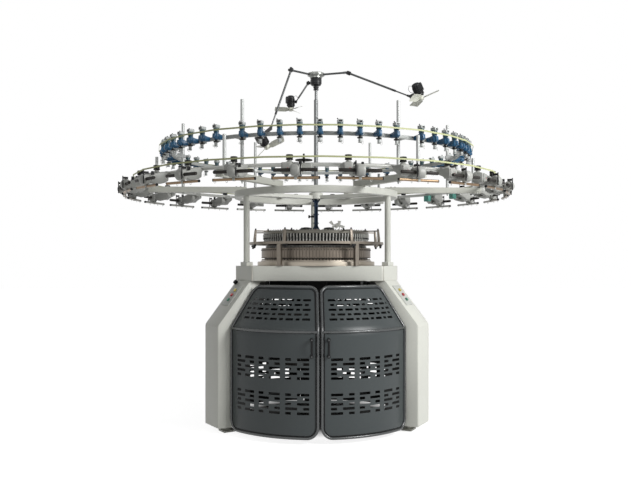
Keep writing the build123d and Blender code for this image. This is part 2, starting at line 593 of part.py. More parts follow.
# The doors and guards are rolled sheet, bent inwards at the top. The doors have box section frames.
door_r = leg_outer_r - DOOR_INSET
door_top_r = bed_short_r - DOOR_TOP_INSET
half_column = COLUMN_ANGLE / 2
gap_angle = math.degrees(math.asin(DOOR_GAP / 2 / door_r))
leaf_angles = [gap_angle]
for start in COLUMN_STARTS:
    leaf_angles += [start, start + half_column, start + COLUMN_ANGLE]
leaf_angles.append(DOOR_END_ANGLE)
front_right = LEG_AZIMUTHS["right"]


def sheet_radius(z):
    """The sheet's outer radius at a height: straight to the bend, and then sloping inwards."""
    if z <= DOOR_BEND_Z:
        return door_r
    return door_r + (door_top_r - door_r) * (z - DOOR_BEND_Z) / (DOOR_TOP_Z - DOOR_BEND_Z)


def sheet_point(angle, z, inwards=0.0):
    return spot(angle, sheet_radius(z) - inwards, z) + Vector(0, DOOR_AXIS_Y, 0)


def sheet_band(angles, z_low, z_high, depth):
    """The sheet between two heights on one side of the bend, this deep inwards from its outer face."""
    loops = []
    for z in (z_low, z_high):
        outer = [sheet_point(angle, z) for angle in angles]
        inner = [sheet_point(angle, z, depth) for angle in reversed(angles)]
        loops.append(outer + inner)
    faces = [Face(Wire.make_polygon(loop, close=True)) for loop in loops]
    for i in range(len(loops[0])):
        corners = [loops[0][i - 1], loops[0][i], loops[1][i], loops[1][i - 1]]
        faces.append(Face(Wire.make_polygon(corners, close=True)))
    return Solid(Shell(faces))


def bent_sheet(angles, depth):
    lower = sheet_band(angles, DOOR_BOTTOM_Z, DOOR_BEND_Z, depth)
    return fused(lower, [sheet_band(angles, DOOR_BEND_Z, DOOR_TOP_Z, depth)])


def leg_side_slab(azimuth, side, gap, thickness):
    """The slab that stands off a leg's side face by the gap. A side of 1 is towards larger azimuths."""
    offset = side * (LEG_WIDTH / 2 + gap + thickness / 2)
    return turned(Pos(offset, 0, 0) * Box(thickness, 4 * door_r, 4 * door_r), azimuth)


def facet_plane(low_angle, high_angle, z):
    """The plane on the middle of a flat of the sheet, its X along the flat and its Z outwards."""
    low, high = (sheet_point(angle, z) for angle in (low_angle, high_angle))
    up = Vector(0, 0, 1)
    if z > DOOR_BEND_Z:
        ends = [
            (sheet_point(low_angle, level) + sheet_point(high_angle, level)) * 0.5
            for level in (DOOR_BEND_Z, DOOR_TOP_Z)
        ]
        up = (ends[1] - ends[0]).normalized()
    along = (high - low).normalized()
    return Plane((low + high) * 0.5, x_dir=along, z_dir=along.cross(up))


def half_column_slot(low_angle, z, long, at_far_end, height):
    """A punched slot. A long one fills its half column, and a short one stands at the column's end."""
    flat = 2 * sheet_radius(z) * math.sin(math.radians(half_column / 2)) - 2 * SLOT_EDGE
    length = flat if long else min(SHORT_SLOT, flat)
    shift = (flat - length) / 2 * (1 if at_far_end else -1)
    place = facet_plane(low_angle, low_angle + half_column, z)
    return place * Pos(shift, 0, 0) * Box(length, height, 2 * RIM_SECTION)


def leaf_slots():
    """Rows of slots in three columns. Long and short change sides from row to row."""
    cutters = []
    for start in COLUMN_STARTS:
        for row in range(SLOT_ROWS):
            long_first = row % 2 == 0
            for block_z in SLOT_BLOCKS_Z:
                z = block_z + row * SLOT_PITCH
                cutters.append(half_column_slot(start, z, long_first, False, SLOT_HEIGHT))
                cutters.append(half_column_slot(start + half_column, z, not long_first, True, SLOT_HEIGHT))
            long_start = start if long_first else start + half_column
            z = TOP_SLOTS_Z + row * SLOT_PITCH
            cutters.append(half_column_slot(long_start, z, True, False, TOP_SLOT_HEIGHT))
    return cutters


# The right leaf has a frame behind the sheet: bands at the foot, bend and top, and two uprights.
reach = 4 * door_r
rim_z = (DOOR_BOTTOM_Z, DOOR_BEND_Z - RIM_SECTION / 2, DOOR_TOP_Z - RIM_SECTION)
rim_space = [Pos(0, 0, z + RIM_SECTION / 2) * Box(reach, reach, RIM_SECTION) for z in rim_z]
rim_space.append(Pos((DOOR_GAP + RIM_SECTION) / 2, 0, 0) * Box(RIM_SECTION, reach, reach))
rim_space.append(leg_side_slab(front_right, -1, DOOR_LEG_GAP, RIM_SECTION))
rim = bent_sheet(leaf_angles, RIM_SECTION) & fused(rim_space[0], rim_space[1:])
leaf = bent_sheet(leaf_angles, DOOR_SHEET) + rim
leaf = leaf - leg_side_slab(front_right, -1, DOOR_LEG_GAP - door_r, door_r)
leaf = leaf.cut(*leaf_slots())

# Each hinge has a knuckle on the leaf, and two lugs and a pin on the leg.
# The leaf's edge crosses the circle of the sheet at this radius from the machine's axis.
edge_aside = LEG_WIDTH / 2 + DOOR_LEG_GAP
tilt = math.radians(front_right)
axis_aside = DOOR_AXIS_Y * math.sin(tilt) + edge_aside
hinge_r = HINGE_PROUD - DOOR_AXIS_Y * math.cos(tilt) + math.sqrt(door_r**2 - axis_aside**2)
hinge_aside = LEG_WIDTH / 2 + HINGE_FROM_LEG
pin_corner = HINGE_PIN_WIDTH / math.cos(math.radians(22.5))
knuckle_sketch = flats(KNUCKLE_WIDTH) - flats(pin_corner + 2 * HINGE_CLEARANCE)
strap = Pos(-STRAP_LENGTH / 2, KNUCKLE_WIDTH / 2 + KNUCKLE_WALL, KNUCKLE_LENGTH / 2) * Box(
    STRAP_LENGTH, KNUCKLE_WIDTH, KNUCKLE_LENGTH
)
bore_blank = extrude(flats(KNUCKLE_WIDTH - 2 * KNUCKLE_WALL), KNUCKLE_LENGTH)
knuckle = extrude(knuckle_sketch, KNUCKLE_LENGTH) + (strap - bore_blank)
lug_block = Pos(HINGE_FROM_LEG / 2, 0, LUG_THICKNESS / 2) * Box(HINGE_FROM_LEG, KNUCKLE_WIDTH, LUG_THICKNESS)
lug = prism(KNUCKLE_WIDTH, LUG_THICKNESS) + lug_block
lug_step = KNUCKLE_LENGTH + 2 * RUNNING_GAP + LUG_THICKNESS
pin = Pos(0, 0, LUG_THICKNESS) * prism(HINGE_PIN_WIDTH, lug_step - LUG_THICKNESS)
leg_hinges = []
for z in HINGE_HEIGHTS_Z:
    hinge_place = Pos(-hinge_aside, -hinge_r, z)
    lower_lug = hinge_place * lug
    leg_hinges += [lower_lug, Pos(0, 0, lug_step) * lower_lug, hinge_place * pin]
    leaf += turned(hinge_place * Pos(0, 0, LUG_THICKNESS + RUNNING_GAP) * knuckle, front_right)
front_leg = fused(leg_blank, leg_hinges)
parts["door_right"] = leaf
parts["door_left"] = mirror(leaf, Plane.YZ)
parts["leg_right"] = turned(front_leg, front_right)
parts["leg_left"] = mirror(parts["leg_right"], Plane.YZ)
parts["leg_rear"] = turned(leg_blank, LEG_AZIMUTHS["rear"])

# A bar handle stands on two feet beside the gap of the doors.
handle_plane = facet_plane(gap_angle, COLUMN_STARTS[0], HANDLE_Z)
handle_foot = Box(HANDLE_WIDTH, HANDLE_WIDTH, HANDLE_STANDOFF)
handle_grip = Rot(90, 0, 0) * Pos(0, 0, -HANDLE_LENGTH / 2) * prism(HANDLE_WIDTH, HANDLE_LENGTH)
handle_end = HANDLE_LENGTH / 2 - HANDLE_WIDTH
handle = fused(
    Pos(0, 0, HANDLE_STANDOFF) * handle_grip,
    [Pos(0, side * handle_end, HANDLE_STANDOFF / 2) * handle_foot for side in (-1, 1)],
)
handle_shift = HANDLE_FROM_GAP - handle_plane.origin.X
parts["handle_right"] = handle_plane * Pos(handle_shift, 0, 0) * handle
parts["handle_left"] = mirror(parts["handle_right"], Plane.YZ)

# The two rear sides have fixed guards, cut by the legs' side faces, with a window in each column.
guard_side = [gap_angle]
for start in COLUMN_STARTS:
    guard_side += [start, start + COLUMN_ANGLE]
guard_side.append(DOOR_END_ANGLE)
guard_angles = [-angle for angle in reversed(guard_side)] + guard_side
guard = bent_sheet(guard_angles, DOOR_SHEET)
window_width = 2 * door_r * math.sin(math.radians(half_column)) - WINDOW_EDGE
window_height = (SLOT_ROWS - 1) * SLOT_PITCH + SLOT_HEIGHT
windows = []
for block_z in SLOT_BLOCKS_Z:
    window_z = block_z + (SLOT_ROWS - 1) * SLOT_PITCH / 2
    for start in COLUMN_STARTS:
        for span in ((start, start + COLUMN_ANGLE), (-start - COLUMN_ANGLE, -start)):
            windows.append(facet_plane(*span, window_z) * Box(window_width, window_height, RIM_SECTION))
guard -= leg_side_slab(front_right, -1, -door_r, door_r)
guard -= leg_side_slab(-front_right, 1, -door_r, door_r)
guard = guard.cut(*windows)
parts["rear_guards"] = group([turned(guard, azimuth) for azimuth in (-120.0, 120.0)])

# A panel on the slanted face of each front leg has three square push buttons in holes.
slope_rise = APRON_BOTTOM_Z - LEG_KNEE_Z
slope_out = Vector(0, -slope_rise, LEG_SLOPE_RUN).normalized()
slope_length = math.hypot(slope_rise, LEG_SLOPE_RUN)
panel_along = slope_length - PANEL_FROM_TOP
slope_plane = Plane((0, -leg_outer_r, LEG_KNEE_Z), x_dir=(1, 0, 0), z_dir=slope_out)
panel = Pos(0, 0, PANEL_THICKNESS / 2) * Box(PANEL_WIDTH, PANEL_LENGTH, PANEL_THICKNESS)
hole = Box(BUTTON_WIDTH + 2 * RUNNING_GAP, BUTTON_WIDTH + 2 * RUNNING_GAP, 4 * PANEL_THICKNESS)
button = Box(BUTTON_WIDTH, BUTTON_WIDTH, BUTTON_HEIGHT)
button_z = PANEL_THICKNESS - BUTTON_SINK + BUTTON_HEIGHT / 2
button_places = {colour: BUTTON_PITCH * (1 - i) for i, colour in enumerate(BUTTON_COLOURS)}
panel = panel.cut(*[Pos(0, y, 0) * hole for y in button_places.values()])
knob_along = slope_length - KNOB_FROM_TOP
knob = slope_plane * Pos(-KNOB_ASIDE, knob_along, RUNNING_GAP) * prism(KNOB_WIDTH, KNOB_HEIGHT)
parts["speed_knob"] = turned(knob, LEG_AZIMUTHS["left"])
panels = []
for side in ("left", "right"):
    place = Rot(0, 0, LEG_AZIMUTHS[side])
    panels.append(place * (slope_plane * Pos(0, panel_along, 0) * panel))
    for colour, y in button_places.items():
        local = slope_plane * Pos(0, panel_along + y, button_z)
        parts["button_" + colour + "_" + side] = place * (local * button)
parts["button_panels"] = group(panels)

os.makedirs("parts", exist_ok=True)
for name, part in parts.items():
    export_step(part, "parts/" + name + ".step")
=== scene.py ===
import bpy
import math
from math import cos, pi, radians, sin
from mathutils import Matrix, Vector


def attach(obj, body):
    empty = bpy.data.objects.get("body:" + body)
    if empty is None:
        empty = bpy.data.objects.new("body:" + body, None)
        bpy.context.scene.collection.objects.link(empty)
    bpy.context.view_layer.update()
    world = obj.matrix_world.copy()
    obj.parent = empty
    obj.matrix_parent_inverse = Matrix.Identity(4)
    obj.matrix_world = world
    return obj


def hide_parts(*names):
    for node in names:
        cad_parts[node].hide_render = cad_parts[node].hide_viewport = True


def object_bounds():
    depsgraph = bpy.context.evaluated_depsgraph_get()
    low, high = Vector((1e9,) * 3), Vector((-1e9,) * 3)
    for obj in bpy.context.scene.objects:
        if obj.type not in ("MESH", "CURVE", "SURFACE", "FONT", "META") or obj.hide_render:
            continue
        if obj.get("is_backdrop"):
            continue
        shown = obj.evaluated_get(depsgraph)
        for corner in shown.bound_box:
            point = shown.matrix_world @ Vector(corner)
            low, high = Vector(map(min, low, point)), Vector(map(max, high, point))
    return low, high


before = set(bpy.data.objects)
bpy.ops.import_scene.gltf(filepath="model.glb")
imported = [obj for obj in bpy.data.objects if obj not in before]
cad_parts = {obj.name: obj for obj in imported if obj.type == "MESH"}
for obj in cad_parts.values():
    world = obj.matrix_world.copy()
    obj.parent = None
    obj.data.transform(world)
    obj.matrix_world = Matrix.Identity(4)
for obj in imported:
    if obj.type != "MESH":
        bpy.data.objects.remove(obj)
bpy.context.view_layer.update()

# The camera stands square to the doors, a little to the left of them and level with the bed.
# It is level too, so the frame is shifted up to take in the fan.
VIEW_TURN = 1.9
VIEW_DISTANCE = 6.48
VIEW_HEIGHT = 1.384
FOCAL_LENGTH = 42.5
FRAME_SHIFT = (-0.0008, 0.0254)
turn = radians(VIEW_TURN)
bpy.ops.object.camera_add(
    location=(-VIEW_DISTANCE * sin(turn), -VIEW_DISTANCE * cos(turn), VIEW_HEIGHT),
    rotation=(pi / 2, 0, -turn),
)
camera = bpy.context.object
camera.data.lens = FOCAL_LENGTH
camera.data.sensor_width = 36.0
camera.data.shift_x, camera.data.shift_y = FRAME_SHIFT
bpy.context.scene.camera = camera


class Shade:
    """A socket in a material's node tree. Sums with it add Math nodes, and make adds any other node."""

    def __init__(self, tree, socket=None):
        self.tree = tree
        self.socket = socket

    def make(self, kind, settings=None, stops=None, output=0, **values):
        node = self.tree.nodes.new("ShaderNode" + kind)
        for key, value in (settings or {}).items():
            setattr(node, key, value)
        if stops:
            points = node.color_ramp.elements
            while len(points) < len(stops):
                points.new(1.0)
            for point, (place, colour) in zip(points, stops):
                point.position = place
                point.color = (*colour, 1.0) if len(colour) == 3 else colour
        for key, value in values.items():
            socket = node.inputs[int(key[1:])] if key[1:].isdigit() else node.inputs[key.replace("_", " ")]
            if isinstance(value, Shade):
                self.tree.links.new(value.socket, socket)
            else:
                socket.default_value = value
        return Shade(self.tree, node.outputs[output])

    def sum(self, operation, first, second):
        return self.make("Math", {"operation": operation}, _0=first, _1=second)

    def __add__(self, other):
        return self.sum("ADD", self, other)

    def __sub__(self, other):
        return self.sum("SUBTRACT", self, other)

    def __rsub__(self, other):
        return self.sum("SUBTRACT", other, self)

    def __mul__(self, other):
        return self.sum("MULTIPLY", self, other)

    __radd__ = __add__
    __rmul__ = __mul__

    def above(self, level, softness):
        """0 where this is below the level and 1 where it is well above it."""
        low, high = level - softness / 2, level + softness / 2
        return self.make("MapRange", Value=self, From_Min=low, From_Max=high)

    def between(self, first, second):
        """The mix of two colours by this factor."""
        return self.make("Mix", {"data_type": "RGBA"}, output=2, _0=self, _6=rgba(first), _7=rgba(second))

    def length(self):
        return self.make("VectorMath", {"operation": "LENGTH"}, output=1, _0=self)

    def feed(self, socket):
        self.tree.links.new(self.socket, socket)


def rgba(colour):
    return colour if isinstance(colour, Shade) else (*colour, 1.0)


def tone(red, green, blue):
    """A colour given as a screen shows it, from 0 to 255 a channel, as the shader takes it."""
    return tuple(((value / 255 + 0.055) / 1.055) ** 2.4 for value in (red, green, blue))


def finish(name, **constants):
    """A new material: its Principled shader, with these values set, and the piece's own coordinates."""
    material = bpy.data.materials.new(name)
    material.use_nodes = True
    shader = material.node_tree.nodes["Principled BSDF"]
    for key, value in constants.items():
        shader.inputs[key.replace("_", " ")].default_value = value
    place = Shade(material.node_tree).make("TexCoord", output="Object")
    return material, shader, place


# The floor and the surround are plain white. Their own glow is seen by the camera and in reflections
# only, so the machine is lit by the sky and the lamps alone and its shadow stays on the floor. The
# floor that the doors and guards close in is painted dark, with no glow: a painted shadow.
FLOOR_SIZE = 60.0
FLOOR_GLOW = 0.85
SKY_STRENGTH = 0.15
PAINTED_SHADOW_RADIUS = 0.74
PAINTED_SHADOW_EDGE = 0.3
PAINTED_SHADOW_CENTRE_Y = 0.2
FLOOR_PALE = (0.7, 0.7, 0.7)
FLOOR_SHADED = (0.05, 0.05, 0.05)
LIT_POINT = (0.0, 0.0, 1.2)
bpy.ops.mesh.primitive_plane_add(size=FLOOR_SIZE)
floor = bpy.context.object
floor.name = "floor"
floor_paint, shader, place = finish("floor_paint", Roughness=0.9, Emission_Strength=FLOOR_GLOW)
rays = place.make("LightPath", output="Is Camera Ray") + place.make("LightPath", output="Is Glossy Ray")
# Inside this circle the floor is painted dark and its glow is off: a painted shadow.
moved = place.make("Mapping", Vector=place, Location=(0, -PAINTED_SHADOW_CENTRE_Y, 0))
clear = moved.length().above(PAINTED_SHADOW_RADIUS, PAINTED_SHADOW_EDGE)
(rays.above(0.5, 0.1) * clear).between((0, 0, 0), (1, 1, 1)).feed(shader.inputs["Emission Color"])
clear.between(FLOOR_SHADED, FLOOR_PALE).feed(shader.inputs["Base Color"])
floor.data.materials.append(floor_paint)
floor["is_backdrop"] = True

world = bpy.data.worlds.new("studio")
bpy.context.scene.world = world
world.use_nodes = True
sky = world.node_tree.nodes["Background"]
rays = Shade(world.node_tree)
seen = rays.make("LightPath", output="Is Camera Ray") + rays.make("LightPath", output="Is Glossy Ray")
(seen.above(0.5, 0.1) * (1 - SKY_STRENGTH) + SKY_STRENGTH).feed(sky.inputs["Strength"])
sky.inputs["Color"].default_value = (1.0, 1.0, 1.0, 1.0)


def lamp(name, place, size, power):
    """A square soft box that faces the lit point."""
    bpy.ops.object.light_add(type="AREA", location=place)
    light = bpy.context.object
    light.name = name
    light.data.size = size
    light.data.energy = power
    light.rotation_mode = "QUATERNION"
    light.rotation_quaternion = (Vector(LIT_POINT) - Vector(place)).to_track_quat("-Z", "Y")


lamp("right_box", (4.2, -3.6, 3.8), 2.4, 285.0)
lamp("front_box", (-2.5, -6.5, 4.0), 3.0, 36.0)
bpy.context.scene.view_settings.view_transform = "Standard"


# The three legs are welded box columns with a slanted shoulder, sprayed warm white. Their outer
# corners are folded to a wide round, and a screwed pad levels each one. What the doors and guards
# close in is painted dark, as painted shade.
LEG_AZIMUTHS = (-60, 60, 180)
LEG_WIDTH = 0.25
LEG_OUTLINE = (
    (0.988, 0.055), (0.988, 0.861), (0.702, 1.216), (0.562, 1.216), (0.562, 1.076), (0.7, 0.861),
    (0.7, 0.055),
)
LEG_ROUND = 0.014
CLOSED_IN_R = 0.86
CLOSED_IN_TOP = 1.205
CLOSED_IN_BEND_Z = 0.846
CLOSED_IN_SLOPE = 0.66
WARM_WHITE = tone(217, 218, 209)


def solo(*pieces):
    """Selects these pieces alone. The first is the active one."""
    bpy.ops.object.select_all(action="DESELECT")
    for piece in pieces:
        piece.select_set(True)
    bpy.context.view_layer.objects.active = pieces[0]


def modified(piece, kind, **settings):
    """Adds a modifier to the piece and applies it."""
    solo(piece)
    change = piece.modifiers.new(kind.lower(), kind)
    for key, value in settings.items():
        setattr(change, key, value)
    bpy.ops.object.modifier_apply(modifier=change.name)
    return piece


def settled(piece, angle=35):
    """Puts the piece's place into its mesh and shades its curved faces smooth."""
    solo(piece)
    bpy.ops.object.transform_apply(location=True, rotation=True, scale=True)
    bpy.ops.object.shade_smooth_by_angle(angle=radians(angle))
    return piece


def eased(piece, width, segments=2, angle=30):
    """Rounds the edges of the piece that are sharper than the angle."""
    limit = {"limit_method": "ANGLE", "angle_limit": radians(angle)}
    modified(piece, "BEVEL", width=width, segments=segments, **limit)
    return settled(piece)


def edge_rounded(piece, chosen, width, segments):
    """Rounds the edges whose two ends both pass the test."""
    solo(piece)
    bpy.ops.object.mode_set(mode="EDIT")
    bpy.ops.mesh.select_all(action="DESELECT")
    bpy.ops.object.mode_set(mode="OBJECT")
    points = piece.data.vertices
    for edge in piece.data.edges:
        first, second = (points[i].co for i in edge.vertices)
        edge.select = chosen(first, second)
    bpy.ops.object.mode_set(mode="EDIT")
    bpy.ops.mesh.select_mode(type="EDGE")
    bpy.ops.mesh.bevel(offset=width, segments=segments)
    bpy.ops.mesh.select_mode(type="VERT")
    bpy.ops.object.mode_set(mode="OBJECT")
    return piece


OUTWARDS = (bpy.ops.mesh.normals_make_consistent, {"inside": False})


def extruded(x, y, z):
    return bpy.ops.mesh.extrude_region_move, {"TRANSFORM_OT_translate": {"value": (x, y, z)}}


def merged(distance):
    return bpy.ops.mesh.remove_doubles, {"threshold": distance}


def reworked(piece, *steps):
    """Runs these edit mode operators, each on the whole piece."""
    solo(piece)
    bpy.ops.object.mode_set(mode="EDIT")
    for operator, settings in steps:
        bpy.ops.mesh.select_all(action="SELECT")
        operator(**settings)
    bpy.ops.object.mode_set(mode="OBJECT")
    return piece


def cut_plate(name, outline, thickness):
    """A plate cut to an outline of (radius, height) points, standing on edge at the front."""
    bpy.ops.mesh.primitive_circle_add(vertices=len(outline), fill_type="NGON")
    piece = bpy.context.object
    piece.name = name
    for point, (radius, height) in zip(piece.data.vertices, outline):
        point.co = (-thickness / 2, -radius, height)
    return reworked(piece, extruded(thickness, 0, 0), OUTWARDS)


def joined(name, *pieces):
    solo(*pieces)
    if len(pieces) > 1:
        bpy.ops.object.join()
    pieces[0].name = name
    return pieces[0]


def around(piece, azimuths):
    """Turns copies of a piece that is modelled at the front to these azimuths, and joins them."""
    name = piece.name
    copies = []
    for azimuth in azimuths:
        copy = piece.copy()
        copy.data = piece.data.copy()
        copy.data.transform(Matrix.Rotation(radians(azimuth), 4, "Z"))
        bpy.context.scene.collection.objects.link(copy)
        copies.append(copy)
    bpy.data.objects.remove(piece)
    return joined(name, *copies)


def dressed(piece, material, slot, *nodes, body="machine_frame"):
    """Gives a finished piece its material and body, and the parts of the frame that it stands for."""
    piece.data.materials.clear()
    piece.data.materials.append(material)
    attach(piece, body)
    if nodes:
        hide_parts(*nodes)
    return piece


def from_node(node, name):
    """A copy of a part of the frame, merged and with its flat faces whole, ready to be eased."""
    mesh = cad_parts[node].data.copy()
    piece = bpy.data.objects.new(name, mesh)
    bpy.context.scene.collection.objects.link(piece)
    return reworked(piece, merged(1e-5), (bpy.ops.mesh.dissolve_limited, {"angle_limit": radians(0.5)}))


def paint(name, colour, roughness, mottle=0.05, peel=0.03, coat=0.0, shine=0.5):
    """Sprayed paint: a slightly uneven colour and gloss, with a fine orange peel."""
    material, shader, place = finish(name, Coat_Weight=coat, Coat_Roughness=0.2, Specular_IOR_Level=shine)
    broad = place.make("TexNoise", Vector=place, Scale=2.3, Detail=4.0)
    grain = place.make("TexNoise", Vector=place, Scale=60.0, Detail=3.0)
    light = tuple(min(1.0, c * (1 + mottle)) for c in colour)
    dark = tuple(c * (1 - mottle) for c in colour)
    (broad * 0.7 + grain * 0.3).above(0.5, 0.4).between(dark, light).feed(shader.inputs["Base Color"])
    (broad * 0.12 + grain * 0.06 + (roughness - 0.09)).feed(shader.inputs["Roughness"])
    fine = place.make("TexNoise", Vector=place, Scale=420.0, Detail=2.0)
    bump = place.make("Bump", Strength=peel, Distance=0.001, Height=fine)
    bump.feed(shader.inputs["Normal"])
    return material


def block(name, size, place, turn=(0, 0, 0)):
    """A sawn block of this size, centred on the place."""
    bpy.ops.mesh.primitive_cube_add(size=1, location=place, rotation=turn, scale=size)
    piece = bpy.context.object
    piece.name = name
    return settled(piece)


def rod(name, radius, low, high, sides=24):
    """A round bar between two points."""
    low, high = Vector(low), Vector(high)
    bpy.ops.mesh.primitive_cylinder_add(
        vertices=sides, radius=radius, depth=(high - low).length, location=(low + high) / 2
    )
    piece = bpy.context.object
    piece.name = name
    piece.rotation_mode = "QUATERNION"
    piece.rotation_quaternion = (high - low).to_track_quat("Z", "Y")
    return settled(piece)


def painted_shade_inside(material, dark, inside):
    """Mixes a dark painted shade into the paint where the given factor is 1."""
    shader = material.node_tree.nodes["Principled BSDF"]
    coat = Shade(material.node_tree, shader.inputs["Base Color"].links[0].from_socket)
    inside.between(coat, dark).feed(shader.inputs["Base Color"])


frame_paint = paint("frame_paint", WARM_WHITE, 0.42)
# Inside the doors and guards the frame paint is mixed with a dark tone: painted shade.
place = Shade(frame_paint.node_tree).make("TexCoord", output="Object")
height = place.make("SeparateXYZ", output=2, Vector=place)
level = place.make("Mapping", Vector=place, Scale=(1, 1, 0))
slope = height.sum("MAXIMUM", height - CLOSED_IN_BEND_Z, 0.0) * CLOSED_IN_SLOPE
within = 1.0 - (level.length() + slope).above(CLOSED_IN_R, 0.004)
closed_in = within * (1.0 - height.above(CLOSED_IN_TOP, 0.004))
painted_shade_inside(frame_paint, tone(34, 33, 32), closed_in)
for name, azimuth in zip(("leg_left", "leg_right", "leg_rear"), LEG_AZIMUTHS):
    leg = cut_plate(name + "_column", LEG_OUTLINE, LEG_WIDTH)
    edge_rounded(leg, lambda a, b: min(-a.y, -b.y) > LEG_OUTLINE[0][0] - 0.001, LEG_ROUND, 4)
    eased(leg, 0.004)
    dressed(around(leg, [azimuth]), frame_paint, "frame_paint", name)

feet = eased(from_node("levelling_feet", "levelling_pads"), 0.003)
foot_paint = paint("foot_paint", tone(196, 196, 188), 0.45)
dressed(feet, foot_paint, "frame_paint", "levelling_feet")
tie = eased(from_node("floor_tie", "floor_tie_beams"), 0.004)
dressed(tie, frame_paint, "frame_paint", "floor_tie")

# The bed is a cast gear box, closed by a machined plate. A folded apron of sheet wraps its six sides,
# sprayed as the legs are, with the bare plate's ground steel showing inside it.
APRON_Z = (1.216, 1.336)
BED_LONG_R = 0.481
BED_SHORT_R = 0.702
APRON_ROUND = 0.022
APRON_WALL = 0.004


def turned_steel(name, colour, roughness, lines=260.0, metallic=1.0, depth=0.12):
    """Turned metal: fine lines that run round the axis, with a few dull patches."""
    material, shader, place = finish(name)
    stretched = place.make("Mapping", Vector=place, Scale=(3.0, 3.0, lines))
    fine = place.make("TexNoise", Vector=stretched, Scale=1.0, Detail=3.0)
    broad = place.make("TexNoise", Vector=place, Scale=9.0, Detail=3.0)
    light = tuple(min(1.0, c * 1.12) for c in colour)
    dark = tuple(c * 0.86 for c in colour)
    (fine * 0.6 + broad * 0.4).above(0.5, 0.4).between(dark, light).feed(shader.inputs["Base Color"])
    (broad * 0.2 + fine * 0.1 + (roughness - 0.15)).feed(shader.inputs["Roughness"])
    shader.inputs["Metallic"].default_value = metallic
    place.make("Bump", Strength=depth, Distance=0.0006, Height=fine).feed(shader.inputs["Normal"])
    return material


half_side = (BED_SHORT_R - BED_LONG_R * cos(pi / 3)) / sin(pi / 3)
corners = []
for azimuth in (0, 120, 240):
    for side in (-half_side, half_side):
        corners.append(Matrix.Rotation(radians(azimuth), 3, "Z") @ Vector((side, -BED_LONG_R, 0)))
bpy.ops.mesh.primitive_circle_add(vertices=6, fill_type="NOTHING")
apron = bpy.context.object
apron.name = "apron_skirt"
for point, corner in zip(apron.data.vertices, corners):
    point.co = (corner.x, corner.y, APRON_Z[0])
reworked(apron, extruded(0, 0, APRON_Z[1] - APRON_Z[0]))
edge_rounded(apron, lambda a, b: abs(a.z - b.z) > APRON_WALL, APRON_ROUND, 6)
reworked(apron, OUTWARDS)
modified(apron, "SOLIDIFY", thickness=APRON_WALL, offset=-1.0)
dressed(eased(apron, 0.0012), frame_paint, "frame_paint", "apron")
bed_steel = turned_steel("bed_steel", tone(176, 172, 163), 0.42)
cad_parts["bed_plate"].data.materials.clear()
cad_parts["bed_plate"].data.materials.append(bed_steel)

# Three round posts rise from bolted collars on the bed and carry the head ring, which is cut from
# thick plate and painted, with a spider of three arms and a hub for the centre pole. A band with a
# black clamp knob sits on the rear post.
POST_R = 0.672
POST_RADIUS = 0.025
POST_Z = (1.368, 1.913)
COLLAR_SIZE = (0.112, 0.058, 0.032)
COLLAR_BOLT_X = 0.043
HEAD_RING_R = (0.642, 0.704)
HEAD_RING_Z = (1.913, 1.967)
HEAD_HUB_R = 0.06
HEAD_ARM_SIZE = (0.056, 0.62, 0.03)
HEAD_ARM_PLACE = (0, -0.345, 1.928)
POST_KNOB_Z = 1.8
POST_KNOB = [
    (0, 0), (0.006, 0), (0.006, 0.01), (0.013, 0.011), (0.015, 0.014), (0.015, 0.024), (0.012, 0.028),
    (0, 0.028),
]


def spun(name, profile, sides=72, centre=(0, 0, 0), turn=None):
    """A piece turned on a lathe: a closed outline of (radius, height) points, spun round."""
    count = len(profile)
    mesh = bpy.data.meshes.new(name)
    mesh.from_pydata([(r, 0, z) for r, z in profile], [(i, (i + 1) % count) for i in range(count)], [])
    piece = bpy.data.objects.new(name, mesh)
    bpy.context.scene.collection.objects.link(piece)
    full_turn = {"steps": sides, "angle": 2 * pi, "center": (0, 0, 0), "axis": (0, 0, 1)}
    reworked(piece, (bpy.ops.mesh.spin, full_turn), merged(1e-6), OUTWARDS)
    piece.location = centre
    if turn:
        piece.rotation_euler = turn
    return settled(piece)


def plain_ring(inner, outer, low, high):
    """The outline of a ring or disc with square edges."""
    return [(inner, low), (outer, low), (outer, high), (inner, high)]


def bolt_head(name, radius, height, place, turn=(0, 0, 0)):
    """A hexagon bolt head on a washer."""
    bpy.ops.mesh.primitive_cylinder_add(vertices=6, radius=radius, depth=height, location=(0, 0, height / 2))
    head = settled(bpy.context.object)
    rim = [(0.0, 0.0), (radius * 1.35, 0.0), (radius * 1.3, height * 0.2), (0.0, height * 0.2)]
    piece = joined(name, head, spun("washer", rim, 20))
    eased(piece, radius * 0.1, 1, 40)
    piece.location = place
    piece.rotation_euler = turn
    return settled(piece)


def milled(name, size, place, ease, segments=2, turn=(0, 0, 0)):
    """A block with its edges rounded."""
    return eased(block(name, size, place, turn), ease, segments)


collar_place = (0, -POST_R, APRON_Z[1] + COLLAR_SIZE[2] / 2)
collar = milled("post_collar_blocks", COLLAR_SIZE, collar_place, 0.004, 3)
dressed(around(collar, LEG_AZIMUTHS), frame_paint, "frame_paint", "post_collars")
screw_steel = turned_steel("screw_steel", tone(150, 150, 146), 0.35)
bolts = [
    bolt_head("collar_bolts", 0.008, 0.006, (x, -POST_R, POST_Z[0]))
    for x in (-COLLAR_BOLT_X, COLLAR_BOLT_X)
]
dressed(around(joined("collar_bolts", *bolts), LEG_AZIMUTHS), screw_steel, "roller_steel")
post = rod("post_tubes", POST_RADIUS, (0, -POST_R, POST_Z[0]), (0, -POST_R, POST_Z[1]), 40)
dressed(around(post, LEG_AZIMUTHS), frame_paint, "frame_paint", "main_posts")
knob = spun("post_knob", POST_KNOB, 18, (-POST_RADIUS + 0.001, POST_R, POST_KNOB_Z), (0, -pi / 2, 0))
band = plain_ring(0.0245, 0.0275, POST_KNOB_Z - 0.01, POST_KNOB_Z + 0.01)
band = spun("post_knob_band", band, 40, (0, POST_R, 0))
